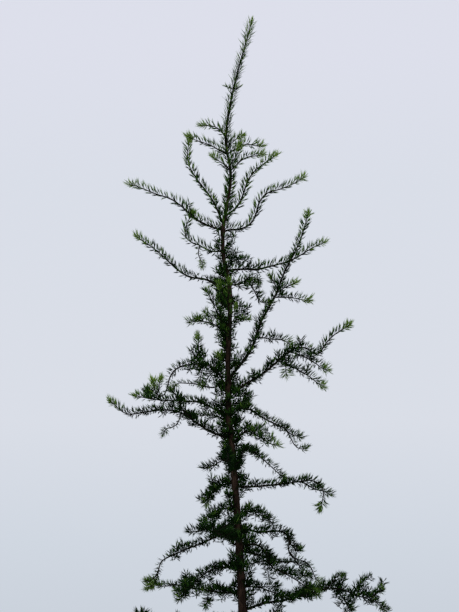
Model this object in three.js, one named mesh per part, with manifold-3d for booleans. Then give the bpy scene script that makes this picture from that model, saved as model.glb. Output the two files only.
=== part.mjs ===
// A contorted Japanese larch, 3.2 m tall, rooted in level ground.
// Millimetres, +Z up. The origin is the centre of the flat cut under the trunk.
// Seen from the front, +X is to the right and +Y is away from the viewer.

import * as THREE from "three";
import Module from "manifold-3d";

const wasm = await Module();
wasm.setup();

// Sizes of the whole tree
const TREE_HEIGHT = 3200;
const TRUNK_TOP = 2740;
const CLEARANCE = 0.3;

// Trunk: radius = tip + taper + swell towards the ground + root flare
const TIP_RADIUS = 1.5;
const TAPER = 0.0058;
const SWELL = 6;
const SWELL_HEIGHT = 2000;
const FLARE = 14;
const FLARE_HEIGHT = 70;
const ROOT_LOBES = 4;
const LOBE_DEPTH = 0.3;
const TRUNK_SIDES = 12;
const TRUNK_RING_STEP = 130;
const FLARE_RING_HEIGHTS = [0, 22, 50, 95, 160];

// The trunk's and leader's centre line: how far right and back it stands at each height
const CENTRE_LINE = [
  { height: 0, right: 0, back: 0 },
  { height: 400, right: -6, back: 6 },
  { height: 800, right: -2, back: 10 },
  { height: 1200, right: -9, back: 6 },
  { height: 1600, right: -20, back: 0 },
  { height: 1800, right: -30, back: 2 },
  { height: 2000, right: -45, back: 4 },
  { height: 2150, right: -57, back: 3 },
  { height: 2300, right: -55, back: 0 },
  { height: 2430, right: -52, back: -2 },
  { height: 2520, right: -68, back: 0 },
  { height: 2600, right: -70, back: 2 },
  { height: 2750, right: -50, back: 2 },
  { height: 2850, right: -63, back: 0 },
  { height: 2950, right: -51, back: 0 },
  { height: 3040, right: -32, back: 0 },
  { height: 3120, right: -10, back: 0 },
  { height: TREE_HEIGHT, right: 10, back: 0 },
];

// Limbs and twigs: thickness for each mm of length, and how they are divided
const WALK_STEP = 12;
const LEAST_STEPS = 3;
const RING_SPACING = 60;
const BEND_RING_SPACING = 24;
const BEND_ANGLE = 24;
const LEAST_RINGS = 2;
const STEM_SIDES = 3;
const BOUGH_SIDES = 6;
const LIMB_TIP_RADIUS = 1.1;
const CORE_RADIUS = 5;
const CORE_WIDENING = 0.06;
const CORE_TIP_SHARE = 0.6;
const UPPER_THICKENING = 0.0062;
const LOWER_THICKENING = 0.0105;
const TWIG_THICKENING = 0.008;
const TAPER_POWER = 0.85;
const HEADING_SWAY = 12;
const SWAYS_PER_LIMB = 1.5;
const SWAY_SHIFT = 0.37;
const STEEP = 0.9;

// Needles, each standing for a spray of real ones
const NEEDLE_LENGTH = 36;
const NEEDLE_LENGTH_SPREAD = 8;
const NEEDLE_RADIUS_SHARE = 0.4;
const NEEDLE_SIDES = 3;
const NEEDLE_SPACING = 46;
const NEEDLE_LEAN = 55;
const NEEDLE_RISE = 0.3;
const TIP_LEAN = 32;
const TIP_ROOT = 7;
const NEEDLE_TEST_SHARES = [0.35, 0.7, 1];
const GOLDEN_ANGLE = 137.5;

// Room that a twig or a needle leaves round what isn't its own
const TWIG_ROOM = 14;
const TWIG_ROOT_NODES = 2;
const NEEDLE_ROOM = 2.5;
const TRUNK_ROOM = 1.5;

// The limbs of the upper tree, from the top down. Each leaves the trunk at its height, heads off
// in degrees from +X towards +Y, and climbs at the listed angles above level, in equal steps.
// A twig leaves its limb at a share of its length, turned from the limb's heading.
const UPPER_LIMBS = [
  { height: 2640, heading: 32, length: 275, climbs: [30, 40, 64, 74, 56, 38, 36, 36] },
  { height: 2612, heading: 152, length: 290, climbs: [72, 64, 54, 52, 60, 88, 112] },
  { height: 2599, heading: 205, length: 292, climbs: [16, 15, 19, 31, 33, 27, 11, 20, 12, -4] },
  { height: 2596, heading: -24, length: 282, climbs: [18, -2, 20, 58, 74, 46, 8, 18, 22, 28] },
  {
    height: 2540,
    heading: 150,
    length: 205,
    climbs: [18, 6, 26, 32, 22, 52, 100, 130, 118],
    twigs: [{ at: 0.42, turn: 20, length: 62, climbs: [-70, -90, -125, -80] }],
  },
  { height: 2490, heading: 26, length: 335, climbs: [6, 10, 4, 18, 18, 18, 32, 34, 28, 20] },
  {
    height: 2450,
    heading: -38,
    length: 168,
    climbs: [-8, 4, -6, -30, -66, -66, -8, 2],
    twigs: [
      { at: 0.3, turn: 30, length: 62, climbs: [70, 20, -40, -110] },
      { at: 0.5, turn: -30, length: 54, climbs: [60, 10, -70] },
    ],
  },
  { height: 2428, heading: 152, length: 365, climbs: [36, 30, 28, 6, 34, 44, 42, 36, 34, 38] },
  { height: 2392, heading: 102, length: 215, climbs: [26, 24, 30, 36] },
  { height: 2336, heading: -138, length: 122, climbs: [38, 48, 58], shoots: 1 },
  { height: 2316, heading: 212, length: 128, climbs: [38, 10, -18], shoots: 1 },
  {
    height: 2298,
    heading: -92,
    length: 195,
    climbs: [25, 50, 70],
    twigs: [{ at: 0.35, turn: 78, length: 55, climbs: [20, 0, -10] }],
    shoots: 2,
  },
  { height: 2240, heading: 98, length: 300, climbs: [34, 40, 42, 36], shoots: 1 },
  {
    height: 2190,
    heading: 8,
    length: 520,
    climbs: [61, 50, 59, 76, 60, 62, 72, 61, 66, 72, 74],
    bough: 0.24,
    twigs: [
      { at: 0.27, turn: -30, length: 100, climbs: [-4, -12, -4, -70] },
      { at: 0.5, turn: 20, length: 104, climbs: [5, -8] },
      { at: 0.53, turn: -20, length: 62, climbs: [36, 10] },
      { at: 0.56, turn: 170, length: 42, climbs: [60, 60] },
    ],
  },
  {
    height: 2174,
    heading: 208,
    length: 314,
    climbs: [40, 58, 34, 6, -6, -20, -50, -78, -60, 60, 85],
    twigs: [
      { at: 0.34, turn: 0, length: 78, climbs: [88, 85] },
      { at: 0.12, turn: -30, length: 60, climbs: [85, 80] },
      { at: 0.06, turn: -20, length: 150, climbs: [-60, -10, 14, 4, 0, -65] },
      { at: 0.3, turn: 50, length: 62, climbs: [-50, -75] },
      { at: 0.18, turn: -50, length: 56, climbs: [-30, -65] },
    ],
    shoots: 1,
  },
  {
    height: 2160,
    heading: -22,
    length: 405,
    climbs: [14, 26, 22, 26, 36, 44, 34, 0, -46, 56, 40, 24, 36],
    bough: 0.3,
    twigs: [
      { at: 0.42, turn: 20, length: 140, climbs: [-26, -17, -31, -37, -26] },
      { at: 0.5, turn: -20, length: 132, climbs: [-14, -22, -30, -40, -15] },
      { at: 0.46, turn: -40, length: 56, climbs: [-85, -85] },
    ],
  },
  {
    height: 2119,
    heading: 25,
    length: 275,
    climbs: [6, 6, 0, -28, -28, -22, -22, -60, -56, -10, 30],
    shoots: 2,
  },
  { height: 2092, heading: 158, length: 298, climbs: [58, 22, 30, 8, 6, 2, 8, 14, 14], shoots: 2 },
  { height: 2064, heading: 132, length: 170, climbs: [50, 44, 26, 10, 4, 0, -6], shoots: 1 },
  {
    height: 2040,
    heading: 200,
    length: 364,
    climbs: [20, 11, 24, 32, 32, 5, -8, -13, -9, 38, 38],
    twigs: [{ at: 0.42, turn: 10, length: 80, climbs: [-85, -60, -9, -80] }],
    shoots: 1,
  },
  { height: 2024, heading: -38, length: 176, climbs: [52, 26, -30, -31, -5], shoots: 1 },
  { height: 2006, heading: 35, length: 190, climbs: [22, 8, -22, -40, -36, -22], shoots: 1 },
  { height: 1962, heading: -96, length: 260, climbs: [5, 0, 5, 15], shoots: 2 },
  { height: 1928, heading: 145, length: 114, climbs: [0, -10, -45, -70], shoots: 1 },
  {
    height: 1920,
    heading: -25,
    length: 306,
    climbs: [-14, 0, 4, 4, 4, 4, 4, -36, -100, -110],
    shoots: 1,
  },
  { height: 1868, heading: 215, length: 132, climbs: [0, -28, -46, -34], shoots: 2 },
  { height: 1842, heading: 40, length: 146, climbs: [18, 24, -26, -24, -80], shoots: 1 },
  {
    height: 1814,
    heading: 20,
    length: 320,
    climbs: [-10, -12, -12, 6, 8, -8, -50, -108, -60, -10, -20, -60, -66, -20],
    shoots: 2,
  },
  {
    height: 1806,
    heading: 202,
    length: 308,
    climbs: [-8, -14, -26, -24, -20, -22, -20, -26, -85, -65, -20],
    shoots: 1,
  },
  { height: 1788, heading: -102, length: 300, climbs: [0, -5, 5, 20], shoots: 3 },
  {
    height: 1770,
    heading: -30,
    length: 272,
    climbs: [0, 0, -42, -75, -20, -24, -34, -34, -30],
    twigs: [{ at: 0.3, turn: -40, length: 80, climbs: [-60, -85, -60, -80] }],
    shoots: 2,
  },
  { height: 1752, heading: 62, length: 380, climbs: [0, -12, 6, -14], shoots: 3 },
  { height: 1712, heading: 222, length: 240, climbs: [-2, -2, -4, -26, -46, -36, -26], shoots: 3 },
  { height: 1660, heading: -44, length: 180, climbs: [10, -4, -16, -20, -12], shoots: 2 },
  {
    height: 1647,
    heading: 158,
    length: 266,
    climbs: [0, 3, 9, 9, 10, 2, 15],
    twigs: [{ at: 0.35, turn: 0, length: 42, climbs: [-80, -80] }],
    shoots: 4,
  },
  {
    height: 1602,
    heading: 6,
    length: 392,
    climbs: [22, 20, 8, 8, 16, 14, 16, 0, -27, -14, -22, -50],
    bough: 0.28,
    twigs: [{ at: 0.8, turn: 0, length: 42, climbs: [70, 60] }],
    shoots: 4,
  },
];

// The leader's own side shoots, in the same terms
const LEADER_TWIGS = [
  { height: 2994, heading: 180, length: 24, climbs: [25, 15] },
  { height: 2990, heading: 5, length: 22, climbs: [25, 20] },
  { height: 2858, heading: 172, length: 82, climbs: [55, 40, 10, -5] },
  { height: 2818, heading: -25, length: 108, climbs: [30, 20, -16, -10] },
  { height: 2828, heading: 15, length: 62, climbs: [60, 25] },
  { height: 2815, heading: 205, length: 124, climbs: [14, 18, 14, 8] },
  { height: 2768, heading: 24, length: 118, climbs: [48, 45, 15, 18] },
  { height: 2776, heading: -35, length: 66, climbs: [48, 62] },
  { height: 2762, heading: 200, length: 64, climbs: [42, 34, 20] },
];

// The limbs of the lower tree follow one rule: evenly down the trunk, each turned on by the golden angle.
// The lowest are the heaviest, with a bare bough at their inner end.
const LEADER_SEED = 90;
const LOWER_SEED = 100;
const LOWER_LIMB_COUNT = 13;
const LOWER_TOP = 1550;
const LOWER_DROP = 94;
const LOWER_FIRST_HEADING = 100;
const LOWER_LENGTH = 430;
const LOWER_LENGTHENING = 13;
const LOWER_LENGTH_SPREAD = 70;
const LOWER_BOUGH_COUNT = 6;
const LOWER_BOUGH = 0.3;
const LOWER_CLIMB_COUNT = 10;
const LOWER_FIRST_CLIMB = 16;
const LOWER_WANDER = 64;
const LOWER_SHOOTS = 6;

// Side shoots grown by the seeded rule, to the left and right in turn
const SHOOT_FIRST = 0.16;
const SHOOT_LAST = 0.95;
const SHOOT_MARGIN = 0.05;
const SHOOT_SHARE = 0.36;
const SHOOT_FIRST_SIZE = 1.1;
const SHOOT_SHRINKING = 0.6;
const SHOOT_LEAST_SIZE = 0.7;
const SHOOT_SIZE_SPREAD = 0.6;
const SHOOT_TURN = 35;
const SHOOT_TURN_SPREAD = 45;
const SHOOT_CLIMB_COUNT = 4;
const SHOOT_WANDER = 80;
const WANDER_MEMORY = 0.6;
const WANDER_MIDDLE = 0.5;

// The run of numbers that stands in for chance
const SEED_STRIDE = 7919;
const SEED_START = 17;
const RUN_FACTOR = 16807;
const RUN_MODULUS = 2147483647;

const UP = new THREE.Vector3(0, 0, 1);
const radians = THREE.MathUtils.degToRad;

const bark = new THREE.MeshStandardMaterial({ color: 0x4b3a2f, roughness: 0.95, metalness: 0 });
const youngBark = new THREE.MeshStandardMaterial({ color: 0x5a4433, roughness: 0.9, metalness: 0 });
const needleGreen = new THREE.MeshStandardMaterial({ color: 0x46603a, roughness: 0.7, metalness: 0 });
const freshGreen = new THREE.MeshStandardMaterial({ color: 0x6d8a45, roughness: 0.7, metalness: 0 });

// The same run of numbers between 0 and 1 for the same seed
function seeded(seed) {
  let state = seed * SEED_STRIDE + SEED_START;
  return () => {
    state = (state * RUN_FACTOR) % RUN_MODULUS;
    return state / RUN_MODULUS;
  };
}

// Centre of the trunk or leader at a height, on a smooth curve through CENTRE_LINE
function trunkCentre(height) {
  const last = CENTRE_LINE.length - 1;
  let i = 0;
  while (i < last - 1 && CENTRE_LINE[i + 1].height < height) i += 1;
  const before = CENTRE_LINE[Math.max(i - 1, 0)];
  const from = CENTRE_LINE[i];
  const to = CENTRE_LINE[i + 1];
  const after = CENTRE_LINE[Math.min(i + 2, last)];
  const span = to.height - from.height;
  const u = (height - from.height) / span;
  const along = (key) => {
    const slopeFrom = (to[key] - before[key]) / (to.height - before.height);
    const slopeTo = (after[key] - from[key]) / (after.height - from.height);
    const blend = 3 * u ** 2 - 2 * u ** 3;
    const bend = (u ** 3 - 2 * u ** 2 + u) * slopeFrom + (u ** 3 - u ** 2) * slopeTo;
    return from[key] + blend * (to[key] - from[key]) + span * bend;
  };
  return new THREE.Vector3(along("right"), along("back"), height);
}

function trunkRadius(height) {
  const swell = SWELL * Math.max(0, 1 - height / SWELL_HEIGHT) ** 2;
  return TIP_RADIUS + TAPER * (TREE_HEIGHT - height) + swell + FLARE * Math.exp(-height / FLARE_HEIGHT);
}

// Walks along a limb in even steps: its heading sways to either side while it climbs by the listed angles
function walk(start, heading, length, climbs, phase) {
  const steps = Math.max(LEAST_STEPS, Math.round(length / WALK_STEP));
  const point = start.clone();
  return Array.from({ length: steps + 1 }, (_, k) => {
    const share = Math.min(k + 0.5, steps - 0.5) / steps;
    const place = share * (climbs.length - 1);
    const from = Math.min(Math.floor(place), climbs.length - 2);
    const climb = climbs[from] + (climbs[from + 1] - climbs[from]) * (place - from);
    const turned = heading + HEADING_SWAY * Math.sin(2 * Math.PI * (SWAYS_PER_LIMB * share + phase));
    const level = Math.cos(radians(climb));
    const direction = new THREE.Vector3(
      level * Math.cos(radians(turned)),
      level * Math.sin(radians(turned)),
      Math.sin(radians(climb)),
    );
    const node = { point: point.clone(), direction, heading: turned, climb };
    point.addScaledVector(direction, length / steps);
    return node;
  });
}

// Radius of the dense middle of a spray, which thickens from its root on
function coreRadius(woodRadius, distance) {
  return Math.max(woodRadius, Math.min(CORE_RADIUS, woodRadius + CORE_WIDENING * distance));
}

// Gives each node of a line its radius, from the base to a slim tip, and its core's
function taper(nodes, baseRadius, tipRadius) {
  nodes.forEach((node, k) => {
    const left = (1 - k / (nodes.length - 1)) ** TAPER_POWER;
    node.radius = tipRadius + (baseRadius - tipRadius) * left;
    node.core = coreRadius(node.radius, k * WALK_STEP);
  });
  return nodes;
}

// Angles that wander on from a first one
function wanderingClimbs(first, count, wander, random) {
  const climbs = [first];
  while (climbs.length < count) {
    climbs.push(climbs[climbs.length - 1] * WANDER_MEMORY + wander * (random() - WANDER_MIDDLE));
  }
  return climbs;
}

function lowerLimbs() {
  return Array.from({ length: LOWER_LIMB_COUNT }, (_, k) => {
    const random = seeded(LOWER_SEED + k);
    return {
      height: LOWER_TOP - LOWER_DROP * k,
      heading: LOWER_FIRST_HEADING + GOLDEN_ANGLE * k,
      length: LOWER_LENGTH + LOWER_LENGTHENING * k + LOWER_LENGTH_SPREAD * (random() - WANDER_MIDDLE),
      climbs: wanderingClimbs(LOWER_FIRST_CLIMB, LOWER_CLIMB_COUNT, LOWER_WANDER, random),
      bough: k < LOWER_LIMB_COUNT - LOWER_BOUGH_COUNT ? 0 : LOWER_BOUGH,
      shoots: LOWER_SHOOTS,
      thickening: LOWER_THICKENING,
    };
  });
}

// Side shoots of a limb by the seeded rule, in the terms of a listed twig
function seededShoots(limb, nodes, random) {
  const first = Math.max(SHOOT_FIRST, (limb.bough ?? 0) + SHOOT_MARGIN);
  return Array.from({ length: limb.shoots ?? 0 }, (_, k) => {
    const at = first + ((SHOOT_LAST - first) * (k + random())) / limb.shoots;
    const side = k % 2 === 0 ? 1 : -1;
    const turn = side * (SHOOT_TURN + SHOOT_TURN_SPREAD * random());
    const size = SHOOT_LEAST_SIZE + SHOOT_SIZE_SPREAD * random();
    const length = limb.length * SHOOT_SHARE * (SHOOT_FIRST_SIZE - SHOOT_SHRINKING * at) * size;
    const climb = nodes[Math.round(at * (nodes.length - 1))].climb;
    const climbs = wanderingClimbs(climb * WANDER_MEMORY, SHOOT_CLIMB_COUNT, SHOOT_WANDER, random);
    return { at, turn, length, climbs };
  });
}

// The limb with its own line and twigs: a bough, where it has one, and the mass that goes on from it
function plannedLimb(limb, index) {
  const thickening = limb.thickening ?? UPPER_THICKENING;
  const nodes = walk(trunkCentre(limb.height), limb.heading, limb.length, limb.climbs, SWAY_SHIFT * index);
  taper(nodes, LIMB_TIP_RADIUS + thickening * limb.length, LIMB_TIP_RADIUS);
  const random = seeded(index + 1);
  const twigs = [...(limb.twigs ?? []), ...seededShoots(limb, nodes, random)];
  const boughNodes = limb.bough ? Math.round(limb.bough * (nodes.length - 1)) : 0;
  const name = String(index + 1).padStart(2, "0");
  return { name, nodes, twigs, boughNodes, random };
}

// The leader goes on from the trunk's top, with side shoots that leave it at their heights
function plannedLeader() {
  const count = Math.round((TREE_HEIGHT - TRUNK_TOP) / WALK_STEP);
  const nodes = Array.from({ length: count + 1 }, (_, k) => {
    const height = TRUNK_TOP + ((TREE_HEIGHT - TRUNK_TOP) * k) / count;
    const radius = trunkRadius(height);
    const core = coreRadius(radius, height - TRUNK_TOP);
    return { point: trunkCentre(height), radius, core, heading: 0, climb: 90 };
  });
  nodes.forEach((node, k) => {
    const from = nodes[Math.min(k, count - 1)].point;
    const to = nodes[Math.min(k + 1, count)].point;
    node.direction = to.clone().sub(from).normalize();
  });
  const twigs = LEADER_TWIGS.map((twig) => {
    const at = (twig.height - TRUNK_TOP) / (TREE_HEIGHT - TRUNK_TOP);
    return { at, turn: twig.heading, length: twig.length, climbs: twig.climbs };
  });
  return { name: "leader", nodes, twigs, boughNodes: 0, random: seeded(LEADER_SEED) };
}

function twigRoot(parent, twig) {
  return parent[Math.round(twig.at * (parent.length - 1))];
}

function twigNodes(parent, twig, order) {
  const root = twigRoot(parent, twig);
  const nodes = walk(root.point, root.heading + twig.turn, twig.length, twig.climbs, SWAY_SHIFT * order);
  const baseRadius = Math.min(LIMB_TIP_RADIUS + TWIG_THICKENING * twig.length, root.radius);
  return taper(nodes, baseRadius, Math.min(LIMB_TIP_RADIUS, baseRadius));
}

// Distance from a point to the surface of the nearest node, thick as it is, among those that pass a test
function distanceTo(point, placed, passes) {
  let nearest = Infinity;
  for (const other of placed) {
    if (passes(other)) nearest = Math.min(nearest, point.distanceTo(other.point) - other.core);
  }
  return nearest;
}

function distanceToTrunk(point) {
  if (point.z > TRUNK_TOP) return Infinity;
  const centre = trunkCentre(Math.max(point.z, 0));
  return Math.hypot(point.x - centre.x, point.y - centre.y) - trunkRadius(Math.max(point.z, 0));
}

// Grows every mass's twigs in turn, and skips one that would come too near another mass, a bough or the trunk
function growTwigs(masses) {
  const placed = [];
  masses.forEach((mass) => {
    mass.nodes.forEach((node, k) => {
      const isBough = k < mass.boughNodes;
      placed.push({ point: node.point, core: isBough ? node.radius : node.core, mass, isBough });
    });
  });
  masses.forEach((mass) => {
    mass.lines = [mass.nodes.slice(mass.boughNodes)];
    mass.twigs.forEach((twig, order) => {
      const nodes = twigNodes(mass.nodes, twig, order);
      const free = nodes.slice(TWIG_ROOT_NODES).every(({ point }) => distanceToTrunk(point) > TWIG_ROOM
        && distanceTo(point, placed, (other) => other.mass !== mass || other.isBough) > TWIG_ROOM);
      if (!free) return;
      twigRoot(mass.nodes, twig).carriesTwig = true;
      mass.lines.push(nodes);
      nodes.forEach(({ point, core }) => placed.push({ point, core, mass, isBough: false }));
    });
  });
  return placed;
}

// The nodes of a line where its skin has a ring: closer together round a bend, and wherever a twig leaves,
// so that the twig's root lies inside the skin. A ring too close to the tip gives way to the tip's own,
// unless it is the only one that shows a short line's bend.
function ringNodes(nodes) {
  const last = nodes[nodes.length - 1];
  const picked = [nodes[0]];
  nodes.forEach((node) => {
    const from = picked[picked.length - 1];
    const gap = node.point.distanceTo(from.point);
    const bends = node.direction.angleTo(from.direction) > radians(BEND_ANGLE);
    const far = gap >= (bends ? BEND_RING_SPACING : RING_SPACING);
    if (far || (node.carriesTwig && gap > 0)) picked.push(node);
  });
  const end = picked[picked.length - 1];
  const close = last.point.distanceTo(end.point) < BEND_RING_SPACING;
  if (picked.length > LEAST_RINGS && close && !end.carriesTwig) picked.pop();
  return [...picked, last];
}

function squareTo(direction, near) {
  return near.clone().addScaledVector(direction, -near.dot(direction)).normalize();
}

// The rings of a line: centre, the way it faces, where it starts counting round, and its radius
function ringsAlong(nodes) {
  const picked = ringNodes(nodes);
  let across = Math.abs(nodes[0].direction.z) > STEEP ? new THREE.Vector3(1, 0, 0) : UP;
  return picked.map((node, k) => {
    const inner = k > 0 && k < picked.length - 1;
    const chord = inner ? picked[k + 1].point.clone().sub(picked[k - 1].point).normalize() : node.direction;
    across = squareTo(chord, across);
    return { centre: node.point, direction: chord, across, radius: node.radius };
  });
}

// A way square to a ring's direction, at an angle round it
function outward(ring, angle) {
  const other = ring.direction.clone().cross(ring.across);
  return ring.across.clone().multiplyScalar(Math.cos(angle)).addScaledVector(other, Math.sin(angle));
}

// A needle rooted on a stem's centre line, slim enough to stand out of the middle of one of its faces
function needleOn(root, ring, core, face, lean, random) {
  const angle = (2 * Math.PI * (face + 0.5)) / STEM_SIDES;
  const direction = ring.direction.clone().multiplyScalar(Math.cos(radians(lean)));
  direction.addScaledVector(outward(ring, angle), Math.sin(radians(lean)));
  direction.addScaledVector(UP, NEEDLE_RISE).normalize();
  const length = NEEDLE_LENGTH + NEEDLE_LENGTH_SPREAD * (random() - WANDER_MIDDLE);
  return { root, direction, length, radius: NEEDLE_RADIUS_SHARE * core };
}

// The needles of one line, evenly along it and on each face in turn
function needlesAlong(nodes, random) {
  const rings = ringsAlong(nodes);
  const needles = [];
  rings.slice(1).forEach((ring, k) => {
    const from = rings[k];
    const count = Math.round(from.centre.distanceTo(ring.centre) / NEEDLE_SPACING);
    for (let n = 0; n < count; n += 1) {
      const share = (n + 0.5) / count;
      const root = from.centre.clone().lerp(ring.centre, share);
      const core = from.radius + (ring.radius - from.radius) * share;
      needles.push(needleOn(root, from, core, needles.length % STEM_SIDES, NEEDLE_LEAN, random));
    }
  });
  return needles;
}

// The tuft at the tip of a stem: a needle on each face, one behind the other
function tipNeedles(nodes, random) {
  const end = ringsAlong(nodes).pop();
  return Array.from({ length: STEM_SIDES }, (_, face) => {
    const root = end.centre.clone().addScaledVector(end.direction, -TIP_ROOT * (face + 1));
    return needleOn(root, end, end.radius, face, TIP_LEAN, random);
  });
}

// A needle fits where all of it is nearer to its own mass than to any other, and clear of wood
function needleFits(needle, mass, placed) {
  return NEEDLE_TEST_SHARES.every((share) => {
    const point = needle.root.clone().addScaledVector(needle.direction, share * needle.length);
    if (distanceToTrunk(point) < TRUNK_ROOM) return false;
    if (distanceTo(point, placed, (other) => other.isBough) < TRUNK_ROOM) return false;
    const own = distanceTo(point, placed, (other) => other.mass === mass);
    return distanceTo(point, placed, (other) => other.mass !== mass) > Math.max(own, 0) + NEEDLE_ROOM;
  });
}

// A closed skin over rings of points, each ring counterclockwise about the way that the skin runs
function loft(rings) {
  const sides = rings[0].length;
  const last = (rings.length - 1) * sides;
  const faces = [];
  for (let ring = 0; ring < last; ring += sides) {
    for (let k = 0; k < sides; k += 1) {
      const next = (k + 1) % sides;
      faces.push(ring + k, ring + next, ring + sides + next);
      faces.push(ring + k, ring + sides + next, ring + sides + k);
    }
  }
  for (let k = 1; k < sides - 1; k += 1) {
    faces.push(0, k + 1, k);
    faces.push(last, last + k, last + k + 1);
  }
  return new THREE.BufferGeometry().setFromPoints(rings.flat()).setIndex(faces);
}

// Points round a ring, counterclockwise about the way it faces
function ringPoints(ring, sides, origin) {
  return Array.from({ length: sides }, (_, k) => {
    const way = outward(ring, (2 * Math.PI * k) / sides);
    return ring.centre.clone().sub(origin).addScaledVector(way, ring.radius);
  });
}

// A tapering limb along a line, cut square at both ends
function limbGeometry(nodes, sides, origin) {
  return loft(ringsAlong(nodes).map((ring) => ringPoints(ring, sides, origin)));
}

// A slim three-sided spike with its blunt end at the needle's root
function needleGeometry(needle, origin) {
  const upright = Math.abs(needle.direction.z) > STEEP;
  const across = squareTo(needle.direction, upright ? new THREE.Vector3(1, 0, 0) : UP);
  const base = { centre: needle.root, direction: needle.direction, across, radius: needle.radius };
  const tip = needle.root.clone().sub(origin).addScaledVector(needle.direction, needle.length);
  const points = [...ringPoints(base, NEEDLE_SIDES, origin), tip];
  return new THREE.BufferGeometry().setFromPoints(points).setIndex([0, 2, 1, 0, 1, 3, 1, 2, 3, 2, 0, 3]);
}

function toSolid(geometry) {
  const mesh = new wasm.Mesh({
    numProp: 3,
    vertProperties: geometry.getAttribute("position").array,
    triVerts: Uint32Array.from(geometry.index.array),
  });
  return new wasm.Manifold(mesh);
}

// Back to a geometry, with the largest body only, so that a scrap that a cut leaves loose is dropped
function toGeometry(solid) {
  const largest = solid.decompose().reduce((best, body) => (body.volume() > best.volume() ? body : best));
  const { vertProperties, triVerts } = largest.getMesh();
  const geometry = new THREE.BufferGeometry();
  geometry.setAttribute("position", new THREE.BufferAttribute(vertProperties, 3));
  geometry.setIndex(new THREE.BufferAttribute(triVerts, 1));
  return geometry;
}

// The trunk from the ground to a height, `grown` all round, with root lobes that fade out above the flare
function trunkGeometry(top, grown) {
  const heights = [...FLARE_RING_HEIGHTS];
  const first = heights[heights.length - 1];
  const count = Math.round((top - first) / TRUNK_RING_STEP);
  for (let k = 1; k <= count; k += 1) heights.push(first + ((top - first) * k) / count);
  const rings = heights.map((height) => {
    const lobes = LOBE_DEPTH * Math.exp(-height / FLARE_HEIGHT);
    const centre = trunkCentre(height);
    return Array.from({ length: TRUNK_SIDES }, (_, k) => {
      const angle = (2 * Math.PI * k) / TRUNK_SIDES;
      const radius = trunkRadius(height) * (1 + lobes * Math.cos(ROOT_LOBES * angle)) + grown;
      return centre.clone().add(new THREE.Vector3(radius * Math.cos(angle), radius * Math.sin(angle), 0));
    });
  });
  return loft(rings);
}

function placedMesh(name, geometry, material, origin) {
  geometry.computeVertexNormals();
  const mesh = new THREE.Mesh(geometry, material);
  mesh.name = name;
  mesh.position.copy(origin);
  return mesh;
}

// A bough: the bare inner part of a limb, from 0.3 mm off the trunk
function boughMesh(mass, trunkRoom) {
  const origin = mass.nodes[0].point;
  const nodes = mass.nodes.slice(0, mass.boughNodes + 1);
  const solid = toSolid(limbGeometry(nodes, BOUGH_SIDES, origin));
  const cut = solid.subtract(trunkRoom.translate([-origin.x, -origin.y, -origin.z]));
  return placedMesh(`bough_${mass.name}`, toGeometry(cut), youngBark, origin);
}

// A mass's line with the thickness of its core, slimmer at the tip
function coreNodes(nodes) {
  const last = nodes.length - 1;
  return nodes.map((node, k) => ({ ...node, radius: k < last ? node.core : CORE_TIP_SHARE * node.core }));
}

// The stem of a mass that goes on from a bough or the trunk's top starts 0.3 mm past it
function stemNodes(mass) {
  const [first, ...rest] = coreNodes(mass.lines[0]);
  const goesOn = mass.boughNodes > 0 || mass.name === "leader";
  const gap = goesOn ? CLEARANCE : 0;
  return [{ ...first, point: first.point.clone().addScaledVector(first.direction, gap) }, ...rest];
}

// A mass of foliage: its stem, its twigs and their needles fused into one body, cut clear of the trunk
function foliageMesh(mass, placed, trunkRoom) {
  const origin = mass.lines[0][0].point;
  const wood = [stemNodes(mass), ...mass.lines.slice(1).map(coreNodes)];
  const needles = wood
    .flatMap((nodes) => needlesAlong(nodes, mass.random))
    .concat(tipNeedles(wood[0], mass.random))
    .filter((needle) => needleFits(needle, mass, placed));
  const pieces = [
    ...wood.map((nodes) => limbGeometry(nodes, STEM_SIDES, origin)),
    ...needles.map((needle) => needleGeometry(needle, origin)),
  ];
  const whole = wasm.Manifold.union(pieces.map(toSolid));
  const cut = whole.subtract(trunkRoom.translate([-origin.x, -origin.y, -origin.z]));
  const material = mass.name === "leader" ? freshGreen : needleGreen;
  return placedMesh(`foliage_${mass.name}`, toGeometry(cut), material, origin);
}

const masses = [plannedLeader(), ...[...UPPER_LIMBS, ...lowerLimbs()].map(plannedLimb)];
const placed = growTwigs(masses);
const trunkRoom = toSolid(trunkGeometry(TRUNK_TOP, CLEARANCE));

const tree = new THREE.Group();
tree.add(placedMesh("trunk", trunkGeometry(TRUNK_TOP, 0), bark, new THREE.Vector3()));
masses.filter((mass) => mass.boughNodes > 0).forEach((mass) => tree.add(boughMesh(mass, trunkRoom)));
masses.forEach((mass) => tree.add(foliageMesh(mass, placed, trunkRoom)));

export default tree;
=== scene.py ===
"""A contorted Japanese larch: bark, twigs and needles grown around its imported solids.

Lengths are in millimetres while the tree grows, and become metres when a mesh is made.
Seen from the front, +X is to the right, +Y is away from the viewer and +Z is up.
"""
import math
from collections import namedtuple

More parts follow.
